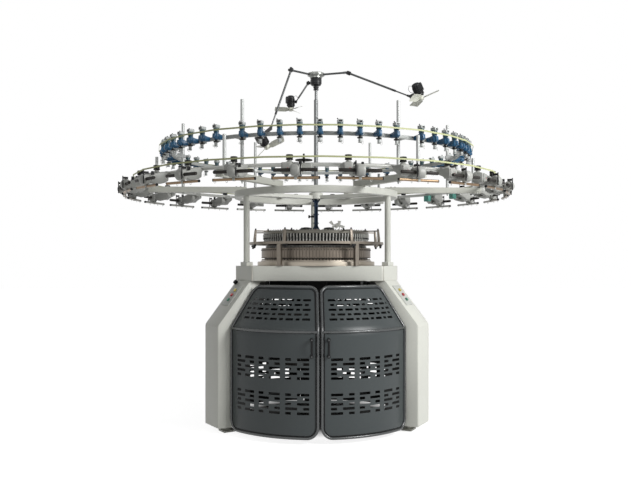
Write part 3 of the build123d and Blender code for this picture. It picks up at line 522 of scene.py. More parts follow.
black_plastic = paint("black_plastic", tone(20, 20, 21), 0.42, 0.1, 0.06, 0.0, 0.2)
dressed(joined("post_knob", knob, eased(band, 0.0008, 1)), black_plastic, "black_plastic")

ring = spun("head_band", plain_ring(*HEAD_RING_R, *HEAD_RING_Z), 120)
hub = spun("head_hub", plain_ring(0.0, HEAD_HUB_R, *HEAD_RING_Z), 48)
arm = milled("head_arm", HEAD_ARM_SIZE, HEAD_ARM_PLACE, 0.003)
head = joined("head_band", eased(ring, 0.003), eased(hub, 0.003), around(arm, LEG_AZIMUTHS))
dressed(head, frame_paint, "frame_paint", "head_ring")

# Six square beams are bolted on the head ring. Round tubes stand on them, with a nut below: tall ones
# for the upper ring, each with its clamp, and short ones near the beams' ends.
BEAM_AZIMUTHS = (-150, -90, -30, 30, 90, 150)
BEAM_R = (0.6, 1.445)
BEAM_SIDE = 0.05
BEAM_Z = (1.967, 2.017)
BEAM_BOLTS_R = (0.655, 0.69, 1.29, 1.42)
STAND_RADIUS = 0.013
TALL_STAND_R = 1.15
TALL_STAND_TOP = 2.563
SHORT_STAND_R = 1.376
SHORT_STAND_TOP = 2.275
STAND_CLAMP_SIZE = (0.04, 0.04, 0.03)
STAND_CLAMP_Z = 2.281


def beam_stand(name, reach, top):
    """A tube that stands on a beam, and the nut that holds it from below."""
    tube = rod(name, STAND_RADIUS, (0, -reach, BEAM_Z[1]), (0, -reach, top), 24)
    nut = bolt_head("stand_nut", 0.01, 0.01, (0, -reach, BEAM_Z[0]), (pi, 0, 0))
    return joined(name, eased(tube, 0.002), nut)


beam_size = (BEAM_SIDE, BEAM_R[1] - BEAM_R[0], BEAM_SIDE)
beam = milled("radial_beam_bars", beam_size, (0, -sum(BEAM_R) / 2, sum(BEAM_Z) / 2), 0.003)
# The beams' paint is a darker copy of the frame's warm white: painted shade.
beam_paint_shaded = paint("beam_paint_shaded", tone(194, 195, 185), 0.44)
dressed(around(beam, BEAM_AZIMUTHS), beam_paint_shaded, "frame_paint", "radial_beams")
tube_steel = turned_steel("tube_steel", tone(176, 178, 176), 0.38, 3.0, 0.35, 0.02)
grip = milled("stand_clamp", STAND_CLAMP_SIZE, (0, -TALL_STAND_R, STAND_CLAMP_Z), 0.004)
screw_ends = [(0, -TALL_STAND_R, BEAM_Z[0] + z) for z in (-0.021, 0.001)]
screw = rod("stand_screw", 0.0055, *screw_ends, 10)
tall = joined("tall_stand_tubes", beam_stand("tall_stand_tubes", TALL_STAND_R, TALL_STAND_TOP), grip, screw)
dressed(around(tall, BEAM_AZIMUTHS), tube_steel, "frame_paint", "tall_stands")
short = beam_stand("short_stand_tubes", SHORT_STAND_R, SHORT_STAND_TOP)
dressed(around(short, BEAM_AZIMUTHS), tube_steel, "frame_paint", "short_stands")
bolts = [bolt_head("beam_bolts", 0.008, 0.006, (0, -reach, BEAM_Z[1])) for reach in BEAM_BOLTS_R]
dressed(around(joined("beam_bolts", *bolts), BEAM_AZIMUTHS), screw_steel, "roller_steel")

# The two doors are rolled steel sheet, bent inwards above a folded bead, in a frame of bent round
# tube. Rows of punched slots change from long to short. The paint is satin blue grey outside and
# black inside as painted shade, and a black tube in the groove between frame and sheet paints its shade.
DOOR_R = 0.842
DOOR_AXIS_Y = -0.101
DOOR_Z = (0.04, 1.187)
BEND_Z = 0.846
DOOR_TOP_R = 0.615
RIM_RADIUS = 0.012
SHEET_BACK = 0.009
SHEET_THICKNESS = 0.003
LOWER_CORNER = 0.085
UPPER_CORNER = 0.062
HALF_GAP = 0.0045
EDGE_ASIDE = 0.0515
COLUMN_STARTS = (5.6, 21.2, 36.9)
COLUMN_ANGLE = 12.7
LONG_SLOT = 0.094
SHORT_SLOT = 0.046
SLOT_HEIGHT = 0.02
SLOT_ROWS = 5
SLOT_PITCH = 0.035
SLOT_BLOCKS_Z = (0.237, 0.4996)
DASH_ROWS_Z = 0.936
DASH_HEIGHT = 0.016
LONG_DASH = 0.062
SHORT_DASH = 0.031
DASH_GAP = 0.02
DASH_SPAN = (5.4, 50.5)
SLOT_ROUND = 0.0045
DOOR_GREY = tone(64, 70, 71)
RIM_GREY = tone(46, 50, 51)
GROOVE_SHADE_INSET = 0.0155
GROOVE_SHADE_DEPTH = 0.62
GROOVE_SHADE_RADIUS = 0.0042
BEAD_RADIUS = 0.0105
FOOT_ANGLE = 56.2
TOP_ANGLE = 54.8
CORNER_LEAN = 0.83
SHEET_TUCK = (0.8, 0.6)
BEAD_TUCK = 1.2


def sheet_radius(z):
    """The outer radius of the doors at a height: straight to the bend, and then sloping inwards."""
    return DOOR_R + (DOOR_TOP_R - DOOR_R) * max(0.0, (z - BEND_Z) / (DOOR_Z[1] - BEND_Z))


def sheet_spot(angle, z, inwards=0.0):
    radius = sheet_radius(z) - inwards
    return Vector((radius * sin(radians(angle)), DOOR_AXIS_Y - radius * cos(radians(angle)), z))


def leaf_edges(z):
    """The azimuths of a leaf's two upright edges at a height: by the gap and by the leg."""
    radius = sheet_radius(z)
    return math.degrees(math.asin(HALF_GAP / radius)), 60 - math.degrees(math.asin(EDGE_ASIDE / radius))


def slot_windows():
    """The slots of one leaf, each as its two angles and two heights."""
    windows = []
    for start in COLUMN_STARTS:
        for block_z in SLOT_BLOCKS_Z:
            for row in range(SLOT_ROWS):
                z = block_z + row * SLOT_PITCH
                first, second = (LONG_SLOT, SHORT_SLOT) if row % 2 == 0 else (SHORT_SLOT, LONG_SLOT)
                end = start + COLUMN_ANGLE
                height = (z - SLOT_HEIGHT / 2, z + SLOT_HEIGHT / 2)
                windows.append((start, start + math.degrees(first / DOOR_R), *height))
                windows.append((end - math.degrees(second / DOOR_R), end, *height))
    for row in range(SLOT_ROWS):
        z = DASH_ROWS_Z + row * SLOT_PITCH
        degrees_per_metre = math.degrees(1 / sheet_radius(z))
        period = LONG_DASH + SHORT_DASH + 2 * DASH_GAP
        run = -(row % 2) * period / 2
        while True:
            for length in (LONG_DASH, SHORT_DASH):
                low = max(DASH_SPAN[0] + run * degrees_per_metre, DASH_SPAN[0])
                high = min(DASH_SPAN[0] + (run + length) * degrees_per_metre, DASH_SPAN[1])
                if high - low > 1.0:
                    windows.append((low, high, z - DASH_HEIGHT / 2, z + DASH_HEIGHT / 2))
                run += length + DASH_GAP
            if DASH_SPAN[0] + run * degrees_per_metre > DASH_SPAN[1]:
                break
    return windows


def spread(values, low, high, step):
    """These values in order, with more between them where two are further apart than the step."""
    ordered = sorted({round(value, 5) for value in (*values, low, high)})
    filled = [ordered[0]]
    for value in ordered[1:]:
        count = max(1, math.ceil((value - filled[-1]) / step))
        start = filled[-1]
        filled += [start + (value - start) * (i + 1) / count for i in range(count)]
    return filled


def in_window(angle, z, window):
    return window[0] < angle < window[1] and window[2] < z < window[3]


def at_corner(angle, z, window):
    aside = min(abs(angle - window[0]), abs(angle - window[1]))
    return aside < 1e-4 and min(abs(z - window[2]), abs(z - window[3])) < 1e-6


def slotted_sheet(name, windows, angles, low_at, high_at):
    """A rolled sheet with its slots. low_at and high_at give the sheet's foot and top at an angle."""
    levels = spread([z for window in windows for z in window[2:]] + [BEND_Z], *DOOR_Z, 0.05)
    bpy.ops.mesh.primitive_grid_add(x_subdivisions=len(angles) - 1, y_subdivisions=len(levels) - 1)
    sheet = bpy.context.object
    sheet.name = name
    grid = []
    for z in levels:
        for angle in angles:
            grid.append((angle, min(max(z, low_at(angle)), high_at(angle))))
    for point, (angle, z) in zip(sheet.data.vertices, grid):
        point.co = sheet_spot(angle, z, SHEET_BACK)
    solo(sheet)
    for kind, chosen in (("FACE", in_window), ("VERT", at_corner)):
        bpy.ops.object.mode_set(mode="EDIT")
        bpy.ops.mesh.select_mode(type=kind)
        bpy.ops.mesh.select_all(action="DESELECT")
        bpy.ops.object.mode_set(mode="OBJECT")
        for item in sheet.data.polygons if kind == "FACE" else sheet.data.vertices:
            centre = item.center if kind == "FACE" else item.co
            angle = math.degrees(math.atan2(centre.x, DOOR_AXIS_Y - centre.y))
            item.select = any(chosen(angle, centre.z, window) for window in windows)
        bpy.ops.object.mode_set(mode="EDIT")
        if kind == "FACE":
            bpy.ops.mesh.delete(type="FACE")
            bpy.ops.object.mode_set(mode="OBJECT")
        else:
            bpy.ops.mesh.bevel(offset=SLOT_ROUND, segments=3, affect="VERTICES")
            bpy.ops.mesh.select_all(action="SELECT")
            bpy.ops.mesh.remove_doubles(threshold=1e-5)
            bpy.ops.mesh.normals_make_consistent(inside=False)
            bpy.ops.object.mode_set(mode="OBJECT")
    middle = sheet.data.polygons[len(sheet.data.polygons) // 2]
    if middle.normal.y > 0:
        sheet.data.flip_normals()
    modified(sheet, "SOLIDIFY", thickness=SHEET_THICKNESS, offset=-1.0)
    return settled(sheet, 40)


def corner_rise(distance, radius):
    """How far a rounded corner keeps an edge from its corner, at this distance from the other edge."""
    if distance >= radius:
        return 0.0
    return radius - math.sqrt(max(0.0, radius * radius - (radius - distance) ** 2))


def leaf_low(angle):
    near, far = leaf_edges(DOOR_Z[0])
    aside = min(angle - near, far - angle) * radians(DOOR_R)
    return DOOR_Z[0] + RIM_RADIUS + corner_rise(max(0.0, aside), LOWER_CORNER)


def leaf_high(angle):
    near, far = leaf_edges(DOOR_Z[1])
    aside = min(angle - near, far - angle) * radians(DOOR_TOP_R)
    return DOOR_Z[1] - RIM_RADIUS - corner_rise(max(0.0, aside), UPPER_CORNER) * CORNER_LEAN


def swept(name, radius, points, closed=False, resolution=3):
    """A round tube along a row of points."""
    curve = bpy.data.curves.new(name, "CURVE")
    curve.dimensions = "3D"
    line = curve.splines.new("POLY")
    line.points.add(len(points) - 1)
    for point, place in zip(line.points, points):
        point.co = (*place, 1.0)
    line.use_cyclic_u = closed
    curve.bevel_depth = radius
    curve.bevel_resolution = resolution
    curve.use_fill_caps = not closed
    piece = bpy.data.objects.new(name, curve)
    bpy.context.scene.collection.objects.link(piece)
    solo(piece)
    bpy.ops.object.convert(target="MESH")
    return settled(piece, 50)


def rim_path(inset=0.0):
    """The leaf's outline, once round with rounded corners, as (share across the leaf, height)."""
    low, high = DOOR_Z[0] + RIM_RADIUS + inset, DOOR_Z[1] - RIM_RADIUS - inset
    wide_low = (LOWER_CORNER - inset) / (radians(FOOT_ANGLE) * DOOR_R)
    wide_high = (UPPER_CORNER - inset) / (radians(TOP_ANGLE) * DOOR_TOP_R)
    tall_high = (UPPER_CORNER - inset) * CORNER_LEAN
    path = []
    for centre_s, centre_z, rs, rz, start in (
        (wide_low, low + LOWER_CORNER - inset, wide_low, LOWER_CORNER - inset, 180),
        (1 - wide_low, low + LOWER_CORNER - inset, wide_low, LOWER_CORNER - inset, 270),
        (1 - wide_high, high - tall_high, wide_high, tall_high, 0),
        (wide_high, high - tall_high, wide_high, tall_high, 90),
    ):
        for step in range(9):
            turn = radians(start + 90 * step / 8)
            path.append((centre_s + rs * cos(turn), centre_z + rz * sin(turn)))
    filled = []
    for (s0, z0), (s1, z1) in zip(path, path[1:] + path[:1]):
        count = max(1, round(max(abs(s1 - s0) / 0.03, abs(z1 - z0) / 0.04)))
        filled += [(s0 + (s1 - s0) * i / count, z0 + (z1 - z0) * i / count) for i in range(count)]
    return filled


def rim_spot(share, z, inwards, inset=0.0):
    near, far = leaf_edges(z)
    pad = math.degrees((RIM_RADIUS + inset) / sheet_radius(z))
    return sheet_spot(near + pad + (far - near - 2 * pad) * share, z, inwards)


def mirrored(piece, name):
    """The same piece for the other hand."""
    copy = piece.copy()
    copy.data = piece.data.copy()
    copy.name = name
    bpy.context.scene.collection.objects.link(copy)
    copy.data.transform(Matrix.Scale(-1, 4, (1, 0, 0)))
    copy.data.flip_normals()
    return copy


def dress_both(piece, material, slot, node=None):
    """Dresses a piece of the right door, and its mirrored copy as the left door's."""
    other = mirrored(piece, piece.name.replace("right", "left"))
    for hand, side in ((piece, "right"), (other, "left")):
        nodes = [node + "_" + side] if node else []
        dressed(hand, material, slot, *nodes, body="door_" + side)


door_paint = paint("door_paint", DOOR_GREY, 0.34, 0.05, 0.04, 0.0, 0.34)
place = Shade(door_paint.node_tree).make("TexCoord", output="Object")
facing = place.make("NewGeometry", output="Normal")
level = place.make("Mapping", Vector=place, Scale=(1, 1, 0))
outer = place.make("VectorMath", {"operation": "DOT_PRODUCT"}, output=1, _0=facing, _1=level)
# The doors' and guards' inner faces are painted near black: painted shade.
painted_shade_inside(door_paint, tone(14, 14, 15), 1.0 - outer.above(-0.02, 0.02))
rim_paint = paint("rim_paint", RIM_GREY, 0.26, 0.05, 0.01, 0.0, 0.9)
windows = slot_windows()
edge_angles = (*leaf_edges(DOOR_Z[0]), *leaf_edges(DOOR_Z[1]))
sheet_low = min(edge_angles[0], edge_angles[2]) + SHEET_TUCK[0]
sheet_high = edge_angles[3] - SHEET_TUCK[1]
angles = spread([angle for window in windows for angle in window[:2]], sheet_low, sheet_high, 2.0)
sheet = slotted_sheet("door_sheet_right", windows, angles, leaf_low, leaf_high)
rim = swept("door_rim_right", RIM_RADIUS, [rim_spot(s, z, RIM_RADIUS) for s, z in rim_path()], True)
near, far = leaf_edges(BEND_Z)
bead_angles = spread([], near + BEAD_TUCK, far - BEAD_TUCK, 1.5)
bead = swept("door_bead_right", BEAD_RADIUS, [sheet_spot(a, BEND_Z, 0.006) for a in bead_angles])
# A black tube in the groove inside the frame paints the groove's shade.
groove_shade_points = [rim_spot(s, z, RIM_RADIUS * GROOVE_SHADE_DEPTH, GROOVE_SHADE_INSET) for s, z in rim_path(GROOVE_SHADE_INSET)]
groove_shade = swept("door_seal_right", GROOVE_SHADE_RADIUS, groove_shade_points, True, 1)
rim = joined("door_rim_right", rim, bead)
dress_both(sheet, door_paint, "door_paint", "door")
dress_both(rim, rim_paint, "door_paint")
dress_both(groove_shade, black_plastic, "black_plastic")

# Two guards close the rear sides. They are rolled and bent as the doors are, without a frame, and
# are screwed to the legs, with a black strip along their foot.
GUARD_AZIMUTHS = (-120, 120)
GUARD_EDGE = 57.3
GUARD_SCREW_ANGLE = 53.5
GUARD_SCREWS_Z = (0.1, 0.32, 0.58, 0.8, 1.0)
SKIRT_Z = 0.03
SKIRT_HALF = 0.026
SKIRT_WALL = 0.004
PAN_HEAD = [(0, 0), (0.0085, 0), (0.0075, 0.003), (0.0035, 0.0045), (0.003, 0.003), (0, 0.003)]
guard_windows = windows + [(-w[1], -w[0], *w[2:]) for w in windows]
guard_angles = [angle for window in guard_windows for angle in window[:2]]
guard_angles = spread(guard_angles, -GUARD_EDGE, GUARD_EDGE, 2.0)
guard = slotted_sheet(
    "rear_guard_sheets", guard_windows, guard_angles, lambda angle: DOOR_Z[0], lambda angle: DOOR_Z[1]
)
dressed(around(guard, GUARD_AZIMUTHS), door_paint, "door_paint", "rear_guards")
bpy.ops.mesh.primitive_grid_add(x_subdivisions=56, y_subdivisions=2)
skirt = bpy.context.object
skirt.name = "guard_skirts"
for point in skirt.data.vertices:
    z = SKIRT_Z + SKIRT_HALF * point.co.y
    point.co = sheet_spot(GUARD_EDGE * point.co.x, z, SHEET_BACK + SKIRT_WALL)
modified(skirt, "SOLIDIFY", thickness=SKIRT_WALL, offset=0.0)
dressed(around(settled(skirt), GUARD_AZIMUTHS), black_plastic, "black_plastic")
screws = []
for angle in (-GUARD_SCREW_ANGLE, GUARD_SCREW_ANGLE):
    for z in GUARD_SCREWS_Z:
        spot = sheet_spot(angle, z, SHEET_BACK - 0.0005)
        screws.append(spun("guard_screws", PAN_HEAD, 14, spot, (pi / 2, 0, radians(angle))))
dressed(around(joined("guard_screws", *screws), GUARD_AZIMUTHS), screw_steel, "roller_steel")

# Each door is pulled by a black bar handle beside the gap, on two round bosses with dark screws.
HANDLE_ASIDE = 0.0637
HANDLE_Z = 0.729
HANDLE_HALF = 0.072
HANDLE_REACH = 0.062
HANDLE_STANDOFF = 0.028
BOSS_SUNK = 0.008
BOSS_PROUD = 0.009
HANDLE_SCREW = [(0, 0), (0.0062, 0), (0.0058, 0.003), (0.003, 0.0042), (0.0026, 0.002), (0, 0.002)]
handle_y = DOOR_AXIS_Y - math.sqrt(DOOR_R**2 - HANDLE_ASIDE**2)
grip_y = handle_y - HANDLE_STANDOFF
grip = rod(
    "handle_bar_right", 0.0085, (HANDLE_ASIDE, grip_y, HANDLE_Z - HANDLE_HALF),
    (HANDLE_ASIDE, grip_y, HANDLE_Z + HANDLE_HALF), 20,
)
bars = [eased(grip, 0.003)]
screws = []
for z in (HANDLE_Z - HANDLE_REACH, HANDLE_Z + HANDLE_REACH):
    front = (HANDLE_ASIDE, grip_y - BOSS_PROUD, z)
    bars.append(eased(rod("handle_boss", 0.0125, (HANDLE_ASIDE, handle_y + BOSS_SUNK, z), front, 24), 0.003))
    screws.append(spun("handle_screw", HANDLE_SCREW, 16, front, (pi / 2, 0, 0)))
dress_both(joined("handle_bar_right", *bars), black_plastic, "black_plastic", "handle")
dress_both(joined("handle_screws_right", *screws), rim_paint, "door_paint")

# The button panels are pale plates on the legs' slanted faces. The push buttons are square lenses.
BUTTON_TONES = {"yellow": tone(196, 176, 60), "red": tone(178, 38, 40), "green": tone(40, 120, 92)}
panels = eased(from_node("button_panels", "button_panel_plates"), 0.0012)
panel_grey = paint("panel_grey", tone(196, 198, 192), 0.45)
dressed(panels, panel_grey, "panel_grey", "button_panels")
for colour, tint in BUTTON_TONES.items():
    lens = paint("button_" + colour, tint, 0.3, 0.06, 0.01, 0.5)
    for side in ("left", "right"):
        name = "button_" + colour + "_" + side
        button = eased(from_node(name, name + "_lens"), 0.002, 3)
        dressed(button, lens, "button_" + colour, name, body=name)
knob = eased(from_node("speed_knob", "speed_knob_grip"), 0.002, 3)
dressed(knob, black_plastic, "black_plastic", "speed_knob", body="speed_knob")

# The lower rail is a bent round tube on the beams' ends. A yarn roller unit is clamped to it at each
# of 24 places: a cast gear box and arm, a drum between two rubber rollers, a pulley on top and a
# polished yarn bar below. Units on the right have their black stop rod on the other side.
UNITS = 24
RAIL_R = 1.436
RAIL_Z = 2.031
RAIL_RADIUS = 0.0138
GEAR_BOX_X = -0.044
GEAR_BOX_SIDE = [
    (1.45, 2.03), (1.486, 2.033), (1.56, 2.034), (1.571, 2.024), (1.572, 1.972), (1.56, 1.956),
    (1.532, 1.954), (1.5, 1.976), (1.45, 1.996),
]
UNIT_ARM_SIDE = [
    (1.45, 2.036), (1.5, 2.036), (1.56, 2.022), (1.6, 2.004), (1.612, 1.98), (1.6, 1.95), (1.56, 1.94),
    (1.48, 1.954), (1.45, 1.972),
]
NECK = [(0, 0), (0.03, 0), (0.024, 0.006), (0.015, 0.012), (0.014, 0.02), (0, 0.02)]
NECK_Z = 2.034
DRUM_X = 0.025
DRUM_Y = -1.6335
DRUM_Z = 1.972
DRUM_HALF = [(0.0412, 0.0), (0.0405, 0.014), (0.0385, 0.024), (0.034, 0.029), (0.024, 0.031), (0, 0.031)]
PULLEY_PLACE = (-0.03, -1.51)
BAR_Y = -1.6175
BAR_Z = 1.9215
unit_azimuths = [360 / UNITS * (number + 0.5) for number in range(UNITS)]


def shifted(piece, x, y=0.0, z=0.0):
    piece.data.transform(Matrix.Translation((x, y, z)))
    return piece


section = [
    (RAIL_R + RAIL_RADIUS * cos(radians(angle)), RAIL_Z + RAIL_RADIUS * sin(radians(angle)))
    for angle in range(0, 360, 30)
]
rail_steel = turned_steel("rail_steel", tone(186, 187, 182), 0.4, 120.0, 0.35)
dressed(spun("lower_rail_tube", section, 144), rail_steel, "ring_steel", "lower_rail")

cast_grey = paint("cast_grey", tone(166, 167, 162), 0.42, 0.1, 0.1)
drum_outline = [(radius, -x) for radius, x in reversed(DRUM_HALF[1:])] + DRUM_HALF
casting = joined(
    "roller_unit_castings",
    eased(shifted(cut_plate("unit_gear_box", GEAR_BOX_SIDE, 0.07), GEAR_BOX_X), 0.008, 3),
    milled("unit_gear_lid", (0.054, 0.01, 0.06), (GEAR_BOX_X, -1.573, 1.996), 0.004),
    shifted(spun("unit_neck", NECK, 20), *PULLEY_PLACE, NECK_Z),
    eased(shifted(cut_plate("unit_arm", UNIT_ARM_SIDE, 0.046), DRUM_X), 0.009, 3),
    spun("unit_drum", drum_outline, 32, (DRUM_X, DRUM_Y, DRUM_Z), (0, pi / 2, 0)),
    milled("unit_rib", (0.05, 0.06, 0.01), (0.004, -1.52, 1.962), 0.003, 2, (radians(-16), 0, 0)),
    milled("unit_web", (0.028, 0.04, 0.056), (-0.006, -1.552, 1.988), 0.006),
    milled("unit_saddle", (0.06, 0.04, 0.036), (-0.006, -1.44, RAIL_Z - 0.004), 0.006),
    milled("unit_stem", (0.016, 0.02, 0.03), (DRUM_X, BAR_Y + 0.006, 1.938), 0.003),
    milled("unit_bar_clamp", (0.02, 0.023, 0.023), (DRUM_X, BAR_Y, BAR_Z), 0.004),
)
dressed(around(casting, unit_azimuths), cast_grey, "unit_grey", "roller_feeders")

# The rollers are rubber covered, and the stop rod and its switch are black plastic.
ROLLER_SPANS = ((-0.12, -0.006), (0.056, 0.17))
ROLLER_RADIUS = 0.0122
STOP_ROD_X = {"right": -0.012, "left": 0.062}
rubber_black = paint("rubber_black", tone(44, 41, 38), 0.5, 0.12, 0.1, 0.0, 0.2)
rollers = []
for low, high in ROLLER_SPANS:
    cover = [(0, low), (0.0105, low), (ROLLER_RADIUS, low + 0.003)]
    cover += [(ROLLER_RADIUS, high - 0.003), (0.0105, high), (0, high)]
    rollers.append(spun("unit_roller", cover, 16, (0, DRUM_Y, DRUM_Z), (0, pi / 2, 0)))
dressed(around(joined("unit_rollers", *rollers), unit_azimuths), rubber_black, "black_plastic")
black_parts = []
for side, x in STOP_ROD_X.items():
    stick = rod("unit_stop_rod", 0.0042, (x, -1.662, 1.936), (x, -1.662, 2.032), 10)
    holder = milled("unit_stop_holder", (0.012, 0.04, 0.016), (x, -1.642, 2.018), 0.002)
    azimuths = [azimuth for azimuth in unit_azimuths if (azimuth < 180) == (side == "right")]
    black_parts.append(around(joined("unit_stop_rods", stick, holder), azimuths))
switch = milled("unit_switch", (0.016, 0.02, 0.026), (0.05, -1.585, 2.02), 0.003)
shaft_end = rod("unit_shaft_end", 0.006, (-0.026, -1.592, DRUM_Z), (-0.008, -1.592, DRUM_Z), 12)
black_parts.append(around(joined("unit_switches", switch, shaft_end), unit_azimuths))
dressed(joined("unit_black_parts", *black_parts), black_plastic, "black_plastic")
lamp_red = paint("lamp_red", tone(170, 50, 52), 0.3, 0.05, 0.01, 0.5)
dome = [(0, 0), (0.0042, 0), (0.0036, 0.0025), (0, 0.0032)]
lens = spun("unit_lamps", dome, 12, (-0.034, -1.578, 1.992), (pi / 2, 0, 0))
dressed(around(lens, unit_azimuths), lamp_red, "button_red")

# The yarn bar is a polished rod with black ends and wire eyelets under it.
BAR_SPAN = (-0.127, 0.177)
BAR_RADIUS = 0.0098
EYELETS_X = (-0.118, -0.03, 0.1)
bar_steel, shader, place = finish("bar_steel", Metallic=0.85)
# The bar is painted brown towards the front and grey towards the rear, a painted reflection of the warm
# floor; the streaks vary it at random.
height = place.make("SeparateXYZ", Vector=place, output=1)
streaks = place.make("TexNoise", Vector=place, Scale=34.0, Detail=3.0)
tint = (height * 0.9 + streaks * 0.5).above(0.2, 0.9)
tint.between(tone(128, 108, 86), tone(150, 150, 146)).feed(shader.inputs["Base Color"])
(streaks * 0.16 + 0.26).feed(shader.inputs["Roughness"])
place.make("Bump", Strength=0.05, Distance=0.0006, Height=streaks).feed(shader.inputs["Normal"])
bar = rod("yarn_bar_rods", BAR_RADIUS, *[(x, BAR_Y, BAR_Z) for x in BAR_SPAN], 20)
dressed(around(bar, unit_azimuths), bar_steel, "roller_steel", "roller_bars")
bar_end = [(0, 0), (0.0104, 0), (0.0104, 0.007), (0.008, 0.0085), (0, 0.0085)]
ends = []
for x, turned in zip(BAR_SPAN, (-pi / 2, pi / 2)):
    ends.append(spun("bar_end", bar_end, 14, (x, BAR_Y, BAR_Z), (0, turned, 0)))
dressed(around(joined("bar_end_caps", *ends), unit_azimuths), black_plastic, "black_plastic")


def wire_loop(radius, wire, sides, place, lean):
    """A loop of bent wire that stands across the front."""
    bpy.ops.mesh.primitive_torus_add(
        major_radius=radius, minor_radius=wire, major_segments=14, minor_segments=sides, location=place,
        rotation=(pi / 2, 0, radians(lean)),
    )
    return settled(bpy.context.object)


eyelets = [wire_loop(0.0062, 0.0013, 6, (x, BAR_Y, BAR_Z - 0.0145), 20) for x in EYELETS_X]
dressed(around(joined("bar_eyelets", *eyelets), unit_azimuths), screw_steel, "roller_steel")

# Each pulley is moulded, with a black cap above the belt. Two tension wheels stand on the rail, on
# cast shoes, and two teal drive housings hang inside it on the right.
PULLEY_Z = 2.0538
PULLEY_CAP = [
    (0, 0.0), (0.0235, 0.0), (0.0245, 0.002), (0.0245, 0.005), (0.023, 0.007), (0.023, 0.022),
    (0.0242, 0.024), (0.0242, 0.033), (0.0222, 0.0355), (0, 0.036),
]
TENSION_AZIMUTHS = (-5.2, 40.0)
TENSION_WHEEL = [
    (0, 0.01), (0.03, 0.01), (0.058, 0.0125), (0.0592, 0.0145), (0.0592, 0.0175), (0.057, 0.0195),
    (0.03, 0.0188), (0.009, 0.021), (0.0085, 0.04), (0.0068, 0.042), (0.0068, 0.057), (0.005, 0.0598),
    (0, 0.0598),
]
SHOE_SIDE = [(1.405, 2.04), (1.47, 2.04), (1.462, 2.004), (1.44, 1.992), (1.418, 1.998)]
HOUSING_AZIMUTHS = (112.5, 127.5)
cap = spun("unit_pulley_caps", PULLEY_CAP, 28, (*PULLEY_PLACE, PULLEY_Z))
wheel = spun("tension_wheel", TENSION_WHEEL, 48, (0, -RAIL_R, 2.045))
axle = rod("tension_axle", 0.007, (0, -RAIL_R, 2.044), (0, -RAIL_R, 2.06), 16)
wheels = around(joined("tension_wheels", wheel, axle), TENSION_AZIMUTHS)
caps = joined("unit_pulley_caps", around(cap, unit_azimuths), wheels)
dressed(caps, black_plastic, "pulley_black", "roller_pulleys")
shoe = eased(cut_plate("tension_shoe", SHOE_SIDE, 0.11), 0.008, 3)
lug = milled("tension_lug", (0.034, 0.03, 0.022), (-0.02, -1.44, 1.984), 0.004)
dressed(around(joined("tension_shoes", shoe, lug), TENSION_AZIMUTHS), cast_grey, "unit_grey")
drive_teal = paint("drive_teal", tone(86, 160, 146), 0.4, 0.08, 0.03)
housing = milled("drive_housings", (0.066, 0.04, 0.056), (-0.02, -1.408, 1.99), 0.006, 3)
dressed(around(housing, HOUSING_AZIMUTHS), drive_teal, "unit_grey")
belt_green = paint("belt_green", tone(184, 188, 142), 0.6)
for node in ("lower_drive_belt", "upper_drive_belt"):
    dressed(eased(from_node(node, node + "_band"), 0.0004, 1, 60), belt_green, "belt_green", node)

# The upper ring is a square rail clamped to the tall stands. It carries 54 yarn storage feeders in
# six groups, each a blue cast arm and body with a belt wheel, a grey cap, a storage wheel and wires.
FEEDER_GROUPS = 6
FEEDERS_PER_GROUP = 9
FEEDER_PITCH = 6.25
FEEDER_TURN = -0.7
FEEDER_Y = -1.3
FEEDER_ARM_SIDE = [
    (1.233, 2.296), (1.262, 2.298), (1.29, 2.306), (1.328, 2.3), (1.333, 2.268), (1.31, 2.254),
    (1.233, 2.262),
]
FEEDER_BODY = [
    (0, 2.258), (0.016, 2.258), (0.0205, 2.266), (0.0205, 2.29), (0.0175, 2.298), (0.0175, 2.311),
    (0, 2.311),
]
FEEDER_NOSE = [(0, 0), (0.013, 0), (0.011, 0.01), (0.006, 0.012), (0, 0.012)]
BELT_WHEEL = [
    (0, 2.3115), (0.021, 2.3115), (0.021, 2.3135), (0.019, 2.3145), (0.019, 2.3265), (0.0215, 2.3275),
    (0.0215, 2.342), (0, 2.342),
]
STORE_WHEEL = [
    (0, 2.206), (0.0135, 2.206), (0.015, 2.209), (0.012, 2.213), (0.0115, 2.23), (0.0145, 2.234),
    (0, 2.236),
]
FEEDER_DISC = [
    (0, 2.236), (0.0195, 2.238), (0.0205, 2.241), (0.0195, 2.245), (0.01, 2.247), (0.01, 2.258),
    (0, 2.258),
]
middle_place = FEEDERS_PER_GROUP // 2
feeder_azimuths = [
    group * 360 / FEEDER_GROUPS + (number - middle_place) * FEEDER_PITCH + FEEDER_TURN
    for group in range(FEEDER_GROUPS) for number in range(FEEDERS_PER_GROUP)
]
rail_paint = paint("rail_paint", tone(178, 181, 178), 0.42)
dressed(eased(from_node("upper_rail", "upper_rail_bars"), 0.002), rail_paint, "frame_paint", "upper_rail")
feeder_blue = paint("feeder_blue", tone(30, 82, 116), 0.34, 0.25, 0.05, 0.0, 0.4)
blue = joined(
    "feeder_bodies",
    eased(cut_plate("feeder_arm", FEEDER_ARM_SIDE, 0.026), 0.004),
    spun("feeder_body", FEEDER_BODY, 20, (0, FEEDER_Y, 0)),
    spun("feeder_nose", FEEDER_NOSE, 16, (0, -1.319, 2.278), (pi / 2, 0, 0)),
    milled("feeder_wing", (0.046, 0.016, 0.014), (0.002, -1.292, 2.268), 0.004),
)
dressed(around(blue, feeder_azimuths), feeder_blue, "feeder_blue", "storage_feeders")
dark_teal = paint("dark_teal", tone(38, 70, 76), 0.4, 0.15, 0.04)
wheel = spun("feeder_belt_wheels", BELT_WHEEL, 20, (0, FEEDER_Y, 0))
dressed(around(wheel, feeder_azimuths), dark_teal, "feeder_blue")
cap_grey = paint("cap_grey", tone(184, 188, 186), 0.4, 0.08, 0.05)
